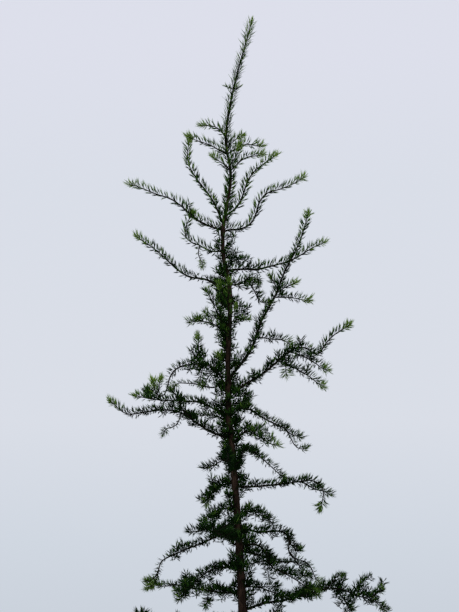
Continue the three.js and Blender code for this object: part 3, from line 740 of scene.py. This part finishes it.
def along(line, places):
    """Points, ways and radii at fractions of a node: a cubic whose slope is that of the neighbours."""
    last = len(line.points) - 1
    k = np.clip(np.floor(places).astype(int), 0, last - 1)
    u = (places - k)[:, None]
    slopes = np.gradient(line.points, axis=0)
    p, q, m, n = line.points[k], line.points[k + 1], slopes[k], slopes[k + 1]
    blend, first, second = cubic_shares(u)
    points = p + blend * (q - p) + first * m + second * n
    ways = 6 * (u - u ** 2) * (q - p) + (3 * u ** 2 - 4 * u + 1) * m + (3 * u ** 2 - 2 * u) * n
    return points, normalised(ways), np.interp(places, np.arange(last + 1), line.radii)


def square_to(ways, near):
    """The part of near that is square to each way, as a unit vector."""
    return normalised(near - (near * ways).sum(-1, keepdims=True) * ways)


def tube_faces(rings, sides):
    """Triangles of a closed tube: two for each side of each span, and a fan over each end."""
    ring, k = np.meshgrid(np.arange(rings - 1) * sides, np.arange(sides), indexing="ij")
    following = (k + 1) % sides
    first = np.stack([ring + k, ring + following, ring + sides + following], -1)
    second = np.stack([ring + k, ring + sides + following, ring + sides + k], -1)
    fan = np.arange(1, sides - 1)
    last = (rings - 1) * sides
    start = np.stack([0 * fan, fan + 1, fan], -1)
    end = np.stack([last + 0 * fan, last + fan, last + fan + 1], -1)
    return np.vstack([first.reshape(-1, 3), second.reshape(-1, 3), start, end])


def tubes(points, ways, across, radii, sides):
    """Many tubes of the same count of rings: centre plus radius times a turn round the way it runs.

    points, ways and across are tube by ring by 3; radii are tube by ring, or tube by ring by side."""
    other = np.cross(ways, across)
    angles = 2 * np.pi * np.arange(sides) / sides
    out = (across[:, :, None, :] * np.cos(angles)[:, None]
           + other[:, :, None, :] * np.sin(angles)[:, None])
    if radii.ndim == 2:
        radii = radii[:, :, None]
    vertices = points[:, :, None, :] + out * radii[..., None]
    count, rings = points.shape[:2]
    faces = tube_faces(rings, sides)[None] + (np.arange(count) * rings * sides)[:, None, None]
    return vertices.reshape(-1, 3), faces.reshape(-1, 3)


def needle_meshes(roots, ways, bends, lengths):
    """Closed needles of four faces: a straight edge from root to tip, and across it, a little before
    halfway and pushed off that edge, the needle's greatest width."""
    middles = roots + ways * (NEEDLE_WIDEST * lengths)[:, None]
    tips = middles + normalised(ways + bends) * ((1 - NEEDLE_WIDEST) * lengths)[:, None]
    side = normalised(np.cross(ways, bends + ODD_WAY))
    middles = middles + np.cross(ways, side) * NEEDLE_DEPTH
    half = side * NEEDLE_WIDTH / 2
    vertices = np.stack([roots, middles + half, middles - half, tips], axis=1)
    pattern = np.array([(0, 2, 1), (3, 1, 2), (0, 1, 3), (0, 3, 2)])
    faces = pattern[None] + vertices.shape[1] * np.arange(len(roots))[:, None, None]
    return vertices.reshape(-1, 3), faces.reshape(-1, 3)


def joined(parts):
    """Vertices and faces of several meshes as one, each one's faces counted on from the last."""
    counts = np.cumsum([0] + [len(vertices) for vertices, _ in parts])
    vertices = np.vstack([vertices for vertices, _ in parts])
    return vertices, np.vstack([faces + n for (_, faces), n in zip(parts, counts)])


def ripple(around, up, seed, count, most_around, shortest):
    """Smooth noise over a turn and a height: a sum of cosines with whole numbers of waves around."""
    chance = np.random.default_rng(seed)
    total = np.zeros(np.broadcast(around, up).shape)
    for _ in range(count):
        waves = chance.integers(0, most_around + 1)
        length = shortest * (1 + RIPPLE_STRETCH * chance.random())
        pitch = 2 * np.pi / length * chance.choice([-1, 1])
        total += np.cos(waves * around + pitch * up + 2 * np.pi * chance.random())
    return total / math.sqrt(count)


def collar(limb, turn, up):
    """A bell under a limb's root, as high as a share of the limb's radius."""
    size = limb.radii[0]
    apart = (turn - math.radians(limb.headings[0]) + np.pi) % (2 * np.pi) - np.pi
    wide = np.minimum((size + COLLAR_MARGIN) / trunk_radius(up), 1)
    below = (up - limb.height + COLLAR_DROP) / (COLLAR_REACH * size)
    return COLLAR_HEIGHT * size * np.exp(-(apart / wide) ** 2 - below ** 2)


def trunk_mesh(masses):
    """The trunk's radius times one plus fading lobes, then ridges, which are one less the size of a
    ripple, flakes, which are another, and a collar under each limb."""
    heights = np.linspace(0, TRUNK_TOP, round(TRUNK_TOP / TRUNK_RING_SPACING))
    turn = 2 * np.pi * np.arange(TRUNK_SIDES)[None, :] / TRUNK_SIDES
    up = heights[:, None]
    lobes = LOBE_DEPTH * np.exp(-up / FLARE_HEIGHT) * np.cos(ROOT_LOBES * turn)
    ridges = 1 - np.abs(ripple(turn, up, RIDGE_SEED, *RIDGES))
    flakes = ripple(turn, up, FLAKE_SEED, *FLAKES)
    fade = np.clip(trunk_radius(up) / FULL_RELIEF_RADIUS, LEAST_RELIEF, 1)
    relief = RIDGE_HEIGHT * ridges + FLAKE_HEIGHT * flakes - RELIEF_DEPTH
    radius = trunk_radius(up) * (1 + lobes) + fade * relief
    for mass in masses[1:]:
        radius = radius + collar(mass.line, turn, up)
    centre = trunk_centre(heights)
    ways = np.broadcast_to(UP, centre.shape)
    across = np.broadcast_to(np.array([1.0, 0, 0]), centre.shape)
    return tubes(centre[None], ways[None], across[None], radius[None], TRUNK_SIDES)


def limb_mesh(line, first, last, skin, seed):
    """A limb's skin between two of its nodes: its radius times one plus roughness times a ripple."""
    sides, spacing, roughness = skin
    count = max(LEAST_STEPS, round((last - first) * WALK_STEP / spacing))
    places = np.linspace(first, last, count + 1)
    points, ways, radii = along(line, places)
    flattest = np.linalg.svd(points - points.mean(axis=0), full_matrices=False)[2][2]
    turn = 2 * np.pi * np.arange(sides)[None, :] / sides
    bumps = ripple(turn, (places * WALK_STEP)[:, None], seed, *SKIN_RIPPLE)
    radii = radii[:, None] * (1 + roughness * bumps)
    return tubes(points[None], ways[None], square_to(ways, flattest)[None], radii[None], sides)


def bough_meshes(masses):
    """The bare inner part of each limb that has one."""
    return joined([limb_mesh(mass.line, 0, mass.bough_nodes, BOUGH_SKIN, BOUGH_SEED + k)
                   for k, mass in enumerate(masses) if mass.bough_nodes > 0])


def twig_meshes(masses):
    """The limbs from the trunk or their bough outwards, and the twigs, as slim tubes."""
    parts = []
    for k, mass in enumerate(masses):
        last = len(mass.line.points) - 1
        parts.append(limb_mesh(mass.line, mass.bough_nodes, last, LIMB_SKIN, LIMB_SEED + k))
        for order, twig in enumerate(mass.grown):
            seed = TWIG_SEED + TWIG_SEEDS * k + order
            parts.append(limb_mesh(twig, 0, len(twig.points) - 1, TWIG_SKIN, seed))
    return parts


class Brush(namedtuple("Brush", "spacing needles spread lean length")):
    """How needles stand on a shoot: the way from bundle to bundle, the needles of a bundle, their
    spread off its middle, the middle's lean off the shoot (both in degrees), and their length."""

    def towards(self, other, share):
        """Each value moved by a share of the way to the other brush's."""
        return Brush(*(a + share * (b - a) for a, b in zip(self, other)))


LEADER_BRUSH = Brush(1.45, 2, 20, 48, 29)
YOUNG_BRUSH = Brush(1.9, 4, 6, 50, 27)
WIRY_BRUSH = Brush(2.4, 3, 12, 58, 16)
THIN_BRUSH = Brush(2.0, 5, 6, 56, 27)
THICK_BRUSH = Brush(1.0, 4, 6, 66, 21)
SPUR_BRUSH = Brush(SPUR_SPACING, 5, 24, 64, 19)
TRUNK_BRUSH = Brush(1.2, 5, 8, 58, 26)
YOUNG_THICKENING = 0.4


def brush_at(height):
    """Thin brush high in the crown, thick one low in it, and evenly mixed between."""
    share = np.clip((THIN_ABOVE - height) / (THIN_ABOVE - THICK_BELOW), 0, 1)
    return THIN_BRUSH.towards(THICK_BRUSH, share)


def leaned(ways, towards, degrees):
    """Each way turned by degrees towards another that is square to it."""
    angles = np.radians(degrees)[:, None]
    return ways * np.cos(angles) + towards * np.sin(angles)


def round_the_way(ways, degrees):
    """Unit vectors square to each way, at degrees round it."""
    across = square_to(ways, ODD_WAY)
    return leaned(across, np.cross(ways, across), degrees)


def turned_out(ways, spread):
    """Square to each way, and turned on round it by the golden angle, give or take the spread."""
    count = len(ways)
    return round_the_way(ways, GOLDEN_ANGLE * np.arange(count) + spread * rng.standard_normal(count))


def freshness(line, left):
    """A shoot's tone plus, by its vigour, a share that fades along its end and one that fades at once."""
    young_way = min(YOUNG_WAY * line.length, YOUNG_WAY_MOST)
    young = YOUNG_SHARE * np.exp(-left / young_way) + TIP_SHARE * np.exp(-left / TIP_WAY)
    return line.tone + line.vigour * young


def bundles(sprays, points, ways, radii, fresh, owner, brush):
    """A bundle at each point, each turned on round the shoot by the golden angle: its middle leans
    off the shoot and rises, and its needles spread round the middle by the golden angle too."""
    out = turned_out(ways, BUNDLE_TURN_SPREAD)
    keep = (out @ UP > UNDERSIDE) | (rng.random(len(points)) < UNDERSIDE_SHARE)
    points, ways, radii, fresh, out = points[keep], ways[keep], radii[keep], fresh[keep], out[keep]
    count, needles = len(points), rounded(brush.needles)
    above = out @ UP
    lean = rng.normal(brush.lean, BUNDLE_LEAN_SPREAD, count)
    middles = normalised(leaned(ways, out, lean) + BUNDLE_RISE * UP)
    reach = brush.length * rng.uniform(*BUNDLE_LENGTHS, count)
    reach = reach * (1 + UNDERSIDE_SHORTENING * np.minimum(above, 0))
    # Painted light: bundles on a shoot's upper side are made lighter, and those underneath darker, for
    # how the sky lights them.
    fresh = fresh + UPPER_SIDE_PAINTED_LIGHT * above + BUNDLE_CHANCE * rng.standard_normal(count)
    bundle = np.repeat(np.arange(count), needles)
    order = np.tile(np.arange(needles), count)
    middle = middles[bundle]
    side = round_the_way(middle, GOLDEN_ANGLE * order + 360 * rng.random(count)[bundle])
    off = brush.spread * np.sqrt((order + 0.5) / needles) * rng.uniform(*NEEDLE_SPREADS, len(order))
    chance = BEND_CHANCE * rng.standard_normal((len(order), 3))
    bends = BEND_OUT * side + BEND_UP * UP + BEND_ALONG * ways[bundle] + chance
    sizes = reach[bundle] * rng.uniform(*NEEDLE_LENGTHS, len(order))
    roots = (points + out * radii[:, None] * ROOT_DEPTH)[bundle]
    fresh = fresh[bundle] + NEEDLE_CHANCE * rng.standard_normal(len(order))
    aims = leaned(middle, side, off)
    sprays.append((roots, aims, bends, sizes, fresh, np.full(len(order), owner)))


def spaced(line, first_mm, last_mm, count, shares):
    """One place in each even part of a stretch, between two shares of the part: points, ways, radii,
    and how fresh its needles are."""
    at = first_mm + (last_mm - first_mm) * (np.arange(count) + rng.uniform(*shares, count)) / count
    points, ways, radii = along(line, at / line.length * (len(line.points) - 1))
    return points, ways, radii, freshness(line, line.length - at)


def dress(sprays, line, first_mm, last_mm, brush):
    """Bundles along a stretch of a line, one in each even part of it."""
    count = int((last_mm - first_mm) / brush.spacing)
    if count < 1:
        return
    brush = brush._replace(length=brush.length * line.needle_size)
    points, ways, radii, fresh = spaced(line, first_mm, last_mm, count, BUNDLE_PLACES)
    bundles(sprays, points, ways, radii, fresh, line.owner, brush)


def tip_tuft(sprays, line, count):
    """The youngest needles, in a brush that opens towards the shoot's end."""
    count = max(LEAST_NEEDLES, rounded(count * min(1, line.length / SMALL_TWIG)))
    lean = np.linspace(*TUFT_LEAN, count) + TUFT_LEAN_SPREAD * rng.standard_normal(count)
    ways = np.broadcast_to(line.ways[-1], (count, 3))
    out = round_the_way(ways, GOLDEN_ANGLE * np.arange(count))
    aims = normalised(leaned(ways, out, lean) + TUFT_RISE * UP)
    roots = line.points[-1] - ways * np.linspace(0, TUFT_DEPTH, count)[:, None]
    bends = TUFT_BEND_ALONG * ways + TUFT_BEND_UP * UP
    sizes = TUFT_LENGTH * line.needle_size * rng.uniform(*TUFT_LENGTHS, count)
    fresh = line.tone + TUFT_FRESHNESS * line.vigour + TUFT_CHANCE * rng.standard_normal(count)
    sprays.append((roots, aims, bends, sizes, fresh, np.full(count, line.owner)))


def spur_meshes(roots, axes, lengths, radii):
    """Barrels standing on the wood: narrow, full, then rounded off."""
    rise = SPUR_RINGS[None, :, None] * lengths[:, None, None]
    points = roots[:, None] + axes[:, None] * rise
    ways = np.repeat(axes[:, None], len(SPUR_RINGS), axis=1)
    across = square_to(ways, ODD_WAY)
    return tubes(points, ways, across, radii[:, None] * SPUR_SWELL, SMALL_SIDES)


def spurs_along(sprays, line, first_mm, last_mm):
    """Spurs by the golden angle along older wood, each with a rosette of needles at its end."""
    count = int((last_mm - first_mm) / SPUR_SPACING)
    if count < 1:
        return []
    points, ways, radii, fresh = spaced(line, first_mm, last_mm, count, SPUR_PLACES)
    out = turned_out(ways, SPUR_TURN_SPREAD)
    axes = normalised(out + SPUR_SWEEP * ways + SPUR_RISE * UP)
    lengths = SPUR_LENGTH * rng.uniform(*SPUR_LENGTHS, count)
    roots = points + out * radii[:, None] * ROOT_DEPTH
    tops = roots + axes * lengths[:, None]
    bundles(sprays, tops, axes, 0 * lengths, fresh, line.owner, SPUR_BRUSH)
    return [spur_meshes(roots, axes, lengths, SPUR_RADIUS * rng.uniform(*SPUR_RADII, count))]


def sprigs_along(sprays, room, line, brush, mass):
    """Sprigs off the inner part of a line, one in each even part, round it by the golden angle."""
    first, last = SPRIGS_FROM * line.length, mass.full_to * line.length
    count = int((last - first) / SPRIG_SPACING * mass.fuller)
    if count < 1:
        return []
    points, ways, radii, _ = spaced(line, first, last, count, SPRIG_PLACES)
    out = turned_out(ways, SPRIG_TURN_SPREAD)
    aims = normalised(out + SPRIG_SWEEP * ways + SPRIG_RISE * UP)
    lengths = mass.sprig_size * rng.uniform(*SPRIG_LENGTHS, count)
    radii = np.minimum(radii, SPRIG_RADIUS)
    return grow_sprigs(sprays, room, line, points, aims, lengths, radii, brush)


def grow_sprigs(sprays, room, line, points, aims, lengths, radii, brush):
    """Each sprig is an arc: its aim times the share of its length, and a bend times half the share
    squared. One that has no room is left out."""
    rings = SPRIG_RINGS
    share = np.linspace(0, 1, rings)[None, :, None]
    sideways = normalised(np.cross(aims, UP) + NUDGE) * rng.choice([-1, 1], len(points))[:, None]
    lift = SPRIG_LIFT * UP * rng.uniform(*SPRIG_LIFTS, len(points))[:, None]
    bend = (lift + SPRIG_CURL * sideways)[:, None]
    arcs = points[:, None] + lengths[:, None, None] * (aims[:, None] * share + bend * share ** 2 * 0.5)
    ways = normalised(aims[:, None] + bend * share)
    owners = np.full(len(points), line.owner)
    fits = room.fits(arcs[:, rings // 2], owners, SPRIG_ROOM)
    fits &= room.fits(arcs[:, -1], owners, SPRIG_ROOM)
    arcs, ways, lengths, radii = arcs[fits], ways[fits], lengths[fits], radii[fits]
    thickness = radii[:, None] * np.linspace(1, SPRIG_TAPER, rings)[None]
    count = np.maximum(LEAST_NEEDLES, (lengths / brush.spacing).astype(int))
    sprig = np.repeat(np.arange(len(arcs)), count)
    order = np.concatenate([np.arange(n) for n in count] or [np.zeros(0, int)])
    place = (order + rng.random(len(order))) / count[sprig]
    place = SPRIG_BARE + (1 - SPRIG_BARE) * place
    lower = np.minimum((place * (rings - 1)).astype(int), rings - 2)
    part = (place * (rings - 1) - lower)[:, None]
    roots = arcs[sprig, lower] * (1 - part) + arcs[sprig, lower + 1] * part
    runs = normalised(ways[sprig, lower] * (1 - part) + ways[sprig, lower + 1] * part)
    fresh = line.tone + SPRIG_FRESHNESS * place ** 3
    bundles(sprays, roots, runs, 0 * place, fresh, line.owner, brush)
    return [tubes(arcs, ways, square_to(ways, ODD_WAY), thickness, SMALL_SIDES)]


def trunk_line(low, high):
    """The trunk between two heights as a line in walking steps."""
    heights = np.linspace(low, high, rounded((high - low) / WALK_STEP) + 1)
    points = trunk_centre(heights)
    ways = normalised(np.gradient(points, axis=0))
    line = Line(points, ways, 0 * heights, 0 * heights + 90)
    return line.set_radii(trunk_radius(heights), 0 * heights)


def stem_sprigs():
    """Sprigs down the stem, each turned on by the golden angle: heights, headings and lengths."""
    heights = STEM_TOP - np.cumsum(rng.uniform(*STEM_DROPS, STEM_SPRIG_COUNT))
    heights = heights[heights > STEM_FOOT]
    headings = STEM_FIRST_HEADING + GOLDEN_ANGLE * np.arange(len(heights))
    lengths = rng.uniform(*STEM_LENGTHS, len(heights))
    right = np.cos(np.radians(headings)) > CLEAR_RIGHT
    front = np.sin(np.radians(headings)) < CLEAR_FRONT
    keep = (heights > CLEAR_BELOW) | (~right & ~front)
    return np.stack([heights, headings, lengths])[:, keep]


def collar_sprigs(limb):
    """A few sprigs on the trunk about a limb's root: heights, headings and lengths."""
    headings = HIGH_HEADINGS if limb.height > HIGH_ABOVE else LOW_HEADINGS
    spans = [COLLAR_RISES, headings, COLLAR_LENGTHS]
    rows = np.stack([rng.uniform(*span, COLLAR_SPRIG_COUNT) for span in spans])
    rows[0] = limb.height + rows[0]
    return rows


def trunk_growth(sprays, room, masses):
    """Needles thick on the trunk's top, sprigs down the stem and about each limb, and listed ones."""
    line = trunk_line(STEM_NEEDLES_FROM, TRUNK_TOP)
    line.tone, line.vigour = STEM_NEEDLE_TONE, 0
    dress(sprays, line, 0, line.length, TRUNK_BRUSH)
    line.tone = STEM_TONE
    seeded = [stem_sprigs()]
    for mass in masses[1:]:
        if mass.line.height <= COLLAR_SPRIGS_BELOW:
            seeded.append(collar_sprigs(mass.line))
    seeded, listed = np.hstack(seeded), np.array(TRUNK_SPRIGS, float)
    heights, headings, lengths = (np.append(row, listed[:, k]) for k, row in enumerate(seeded))
    climbs = np.append(np.full(seeded.shape[1], STEM_CLIMB), listed[:, 3])
    out = way_of(headings, np.zeros(len(heights)))
    roots = trunk_centre(heights) + out * trunk_radius(heights)[:, None] * STEM_DEPTH
    radii = np.full(len(heights), SPRIG_RADIUS)
    return grow_sprigs(sprays, room, line, roots, way_of(headings, climbs), lengths, radii, THICK_BRUSH)


def dress_leader(sprays, line):
    """Fine needles on the newest growth to short of its tip, thin bundles below, and a small tuft."""
    new_from = line.length - LEADER_NEW_GROWTH
    dress(sprays, line, new_from, line.length - LEADER_END_GAP, LEADER_BRUSH)
    dress(sprays, line, 0, new_from, THIN_BRUSH)
    line.needle_size = LEADER_TUFT_SIZE
    tip_tuft(sprays, line, TUFT_NEEDLES)


def dress_shoot(sprays, line, brush, bare):
    """Bundles up to the newest growth and finer ones on it, or sparse short ones where it is wiry."""
    total = line.length
    wiry_from, wiry_to = line.wiry[0] * total, line.wiry[1] * total
    dress(sprays, line, ROOT_GAP, bare[0] * total, brush)
    first = max(ROOT_GAP, bare[1] * total)
    if wiry_from < total:
        dress(sprays, line, first, wiry_from, brush)
        dress(sprays, line, wiry_from, wiry_to, WIRY_BRUSH)
        dress(sprays, line, wiry_to, total, YOUNG_BRUSH)
        tip_tuft(sprays, line, WIRY_TUFT_NEEDLES)
        return
    share = LOW_NEW_GROWTH_SHARE if line.height < THIN_ABOVE else NEW_GROWTH_SHARE
    new_from = total - min(NEW_GROWTH, share * total)
    dress(sprays, line, first, new_from, brush)
    dress(sprays, line, new_from, total, YOUNG_BRUSH.towards(brush, YOUNG_THICKENING))
    tip_tuft(sprays, line, TUFT_NEEDLES)


def grow_foliage(masses, room):
    """The sprigs and the spurs as mesh parts, and all the needles in groups: their roots, ways, bends,
    lengths, how fresh they are with painted light on upper sides and painted shade below, and whose."""
    sprigs, spurs, sprays = [], [], []
    for owner, mass in enumerate(masses):
        height = mass.line.height
        brush = brush_at(height)
        tone = rng.normal(TONE + TONE_RISE * (height - TONE_HEIGHT), TONE_SPREAD)
        mass.line.wiry = mass.wiry
        for line in [mass.line, *mass.grown]:
            line.owner, line.tone, line.needle_size = owner, tone, mass.needle_size
            line.vigour *= mass.vigour
            # A short twig's tips are made duller as well: painted shade, for the shade on the inner twigs
            # of the crown.
            if line.length < SMALL_TWIG:
                line.vigour *= line.length / SMALL_TWIG
            if line.length < STUB_LENGTH:
                line.needle_size *= STUB_NEEDLE_SIZE
            if line is masses[0].line:
                dress_leader(sprays, line)
                continue
            dress_shoot(sprays, line, brush, mass.bare if line is mass.line else NOT_BARE)
            inner = line.length * min(line.wiry[0], SPURS_TO)
            if height < SPURS_BELOW:
                spurs += spurs_along(sprays, line, ROOT_GAP, inner)
            if (height < SPRIGS_BELOW or mass.fuller > 1) and line.wiry[0] > 0:
                sprigs += sprigs_along(sprays, room, line, brush, mass)
    sprigs += trunk_growth(sprays, room, masses)
    return sprigs, spurs, sprays


class Room:
    """Where growth may end: inside the solids' box, off the trunk, and nearer its own mass."""

    def __init__(self, placed):
        self.placed = placed
        self.low, self.high = (np.array(corner) / METRE for corner in CAD_BOX)

    def fits(self, ends, owners, clear):
        """Whether each end has room, with at least the clear way more to other masses than its own."""
        keep = ((ends > self.low + BOX_ROOM) & (ends < self.high - BOX_ROOM)).all(axis=1)
        keep &= trunk_distance(ends) > TRUNK_ROOM
        for owner in np.unique(owners[owners != NOBODY]):
            mine = np.flatnonzero(keep & (owners == owner))
            if len(mine) == 0:
                continue
            low = ends[mine].min(axis=0) - SEARCH_REACH
            high = ends[mine].max(axis=0) + SEARCH_REACH
            close = ((self.placed.points > low) & (self.placed.points < high)).all(axis=1)
            own = self.placed.distance(ends[mine], close & (self.placed.owners == owner))
            other = self.placed.distance(ends[mine], close & (self.placed.owners != owner))
            keep[mine] &= other > np.maximum(own, 0) + clear
        return keep


def add_object(name, data):
    """A new object in the scene."""
    added = bpy.data.objects.new(name, data)
    bpy.context.scene.collection.objects.link(added)
    return added


def finished_piece(name, vertices, faces, material, slot, replaced=()):
    """Puts a mesh of triangles into the scene, smooth, in metres, riding on the tree."""
    mesh = bpy.data.meshes.new(name)
    mesh.vertices.add(len(vertices))
    mesh.vertices.foreach_set("co", (vertices * METRE).astype(np.float32).ravel())
    mesh.loops.add(faces.size)
    mesh.loops.foreach_set("vertex_index", faces.astype(np.int32).ravel())
    mesh.polygons.add(len(faces))
    mesh.polygons.foreach_set("loop_start", np.arange(0, faces.size, 3, dtype=np.int32))
    mesh.polygons.foreach_set("use_smooth", np.ones(len(faces), bool))
    mesh.update(calc_edges=True)
    mesh.materials.append(material)
    piece = add_object(name, mesh)
    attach(piece, "root")
    if replaced:
        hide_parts(*replaced)


def new_material(name, finish):
    """A plain surface of a finish: its material, nodes, links and shader."""
    material = bpy.data.materials.new(name)
    material.use_nodes = True
    nodes, links = material.node_tree.nodes, material.node_tree.links
    shader = nodes["Principled BSDF"]
    shader.inputs["Roughness"].default_value, shader.inputs["Specular IOR Level"].default_value = finish
    return material, nodes, links, shader


def add_node(nodes, kind, settings):
    """A new node with its inputs set by their names."""
    node = nodes.new(f"ShaderNode{kind}")
    for name, value in settings.items():
        node.inputs[name].default_value = value
    return node


def colour_ramp(nodes, stops):
    """A ramp through (place, colour) stops."""
    ramp = nodes.new("ShaderNodeValToRGB")
    elements = ramp.color_ramp.elements
    while len(elements) < len(stops):
        elements.new(position=0.5)
    for element, (place, colour) in zip(elements, stops):
        element.position = place
        element.color = (*colour, 1)
    return ramp


def bark_material(name, colours, stretch, grain, crack_scale, bump):
    """Streaky bark: noise drawn out upwards for its colour, darkened along a net of cracks."""
    material, nodes, links, shader = new_material(name, BARK_FINISH)
    place = nodes.new("ShaderNodeTexCoord")
    mapping = add_node(nodes, "Mapping", {"Scale": (1, 1, stretch)})
    noise = add_node(nodes, "TexNoise", {"Scale": grain, "Detail": 7, "Roughness": 0.65})
    ramp = colour_ramp(nodes, colours)
    cracks = add_node(nodes, "TexVoronoi", {"Scale": crack_scale})
    cracks.feature = "DISTANCE_TO_EDGE"
    edge = add_node(nodes, "MapRange", {"From Max": 0.09, "To Min": 0.35})
    shade = nodes.new("ShaderNodeMix")
    shade.data_type = "RGBA"
    shade.blend_type = "MULTIPLY"
    shade.inputs["Factor"].default_value = 1
    height = nodes.new("ShaderNodeMath")
    height.operation = "ADD"
    relief = add_node(nodes, "Bump", {"Strength": bump, "Distance": 0.0012})
    for output, target in [
        (place.outputs["Object"], mapping.inputs["Vector"]),
        (mapping.outputs["Vector"], noise.inputs["Vector"]),
        (mapping.outputs["Vector"], cracks.inputs["Vector"]),
        (noise.outputs["Fac"], ramp.inputs["Fac"]),
        (cracks.outputs["Distance"], edge.inputs["Value"]),
        (ramp.outputs["Color"], shade.inputs["A"]),
        (edge.outputs["Result"], shade.inputs["B"]),
        (shade.outputs["Result"], shader.inputs["Base Color"]),
        (noise.outputs["Fac"], height.inputs[0]),
        (edge.outputs["Result"], height.inputs[1]),
        (height.outputs["Value"], relief.inputs["Height"]),
        (relief.outputs["Normal"], shader.inputs["Normal"]),
    ]:
        links.new(output, target)
    return material


def needle_material(name, deep, pale):
    """Waxy needle: its colour drifts a little from shoot to shoot between two greens."""
    material, nodes, links, shader = new_material(name, NEEDLE_FINISH)
    place = nodes.new("ShaderNodeTexCoord")
    noise = add_node(nodes, "TexNoise", {"Scale": 42, "Detail": 3})
    links.new(place.outputs["Object"], noise.inputs["Vector"])
    ramp = colour_ramp(nodes, [(DEEP_PLACE, deep), (PALE_PLACE, pale)])
    links.new(noise.outputs["Fac"], ramp.inputs["Fac"])
    links.new(ramp.outputs["Color"], shader.inputs["Base Color"])
    return material


def make_needles(room, sprays):
    """Sorts the needles that fit by how fresh they are, painted light on upper sides included, and makes
    each kind's pieces.
    """
    roots, ways, bends, lengths, fresh, owners = map(np.concatenate, zip(*sprays))
    tips = roots + 0.5 * lengths[:, None] * (ways + normalised(ways + bends))
    keep = room.fits(tips, owners, NEEDLE_ROOM)
    least = -math.inf
    for name, slot, deep, pale, most in NEEDLE_KINDS:
        chosen = np.flatnonzero(keep & (fresh > least) & (fresh <= most))
        least = most
        material = needle_material(name, deep, pale)
        count = max(1, math.ceil(len(chosen) / NEEDLES_PER_PIECE))
        for number, some in enumerate(np.array_split(chosen, count), 1):
            vertices, faces = needle_meshes(roots[some], ways[some], bends[some], lengths[some])
            finished_piece(f"{name}_{number}", vertices, faces, material, slot)


def make_tree():
    """Plans the limbs, grows the twigs, then makes each kind of piece."""
    limbs = [*UPPER_LIMBS, *lower_limbs()]
    masses = [planned_leader(), *[planned_limb(limb, index) for index, limb in enumerate(limbs)]]
    room = Room(grow_twigs(masses))
    bark = bark_material("bark", BARK_COLOURS, stretch=0.32, grain=95, crack_scale=70, bump=0.8)
    young_bark = bark_material("young_bark", YOUNG_BARK_COLOURS, stretch=0.6, grain=160,
                               crack_scale=130, bump=0.5)
    boughs = [f"bough_{mass.name}" for mass in masses if mass.bough_nodes > 0]
    foliage = [f"foliage_{mass.name}" for mass in masses]
    finished_piece("trunk_bark", *trunk_mesh(masses), bark, "bark", ["trunk"])
    finished_piece("boughs", *bough_meshes(masses), young_bark, "young_bark", boughs)
    sprigs, spurs, sprays = grow_foliage(masses, room)
    twigs = joined(twig_meshes(masses) + sprigs)
    finished_piece("twigs", *twigs, young_bark, "young_bark", foliage)
    finished_piece("spurs", *joined(spurs), young_bark, "young_bark")
    make_needles(room, sprays)


def make_camera():
    """Eye level with the picture's lower edge, 4 m away, looking up by half the view's height."""
    data = bpy.data.cameras.new("camera")
    data.sensor_width = SENSOR_WIDTH
    data.lens = LENS
    camera = add_object("camera", data)
    camera.location = CAMERA_PLACE
    camera.rotation_euler = (math.radians(90 + CAMERA_TILT), 0, 0)
    bpy.context.scene.camera = camera


def make_floor():
    """A plain pale square floor under the tree."""
    half = FLOOR_SIZE / 2
    corners = [(-half, -half, 0), (half, -half, 0), (half, half, 0), (-half, half, 0)]
    mesh = bpy.data.meshes.new("floor")
    mesh.from_pydata(corners, [], [(0, 1, 2, 3)])
    material, _, _, shader = new_material("floor", FLOOR_FINISH)
    shader.inputs["Base Color"].default_value = FLOOR_COLOUR
    mesh.materials.append(material)
    add_object("floor", mesh)


def make_light():
    """An even pale sky, a little brighter higher up, and one wide soft light from above the front."""
    world = bpy.data.worlds.new("sky")
    world.use_nodes = True
    nodes, links = world.node_tree.nodes, world.node_tree.links
    place = nodes.new("ShaderNodeTexCoord")
    split = nodes.new("ShaderNodeSeparateXYZ")
    links.new(place.outputs["Generated"], split.inputs["Vector"])
    ramp = colour_ramp(nodes, SKY_COLOURS)
    links.new(split.outputs["Z"], ramp.inputs["Fac"])
    links.new(ramp.outputs["Color"], nodes["Background"].inputs["Color"])
    bpy.context.scene.world = world
    data = bpy.data.lights.new("soft_light", "SUN")
    data.energy = SUN_STRENGTH
    data.angle = math.radians(SUN_SOFTNESS)
    light = add_object("soft_light", data)
    light.rotation_euler = [math.radians(turn) for turn in SUN_TURN]
    bpy.context.scene.view_settings.view_transform = "Standard"


make_camera()
make_light()
make_floor()
make_tree()
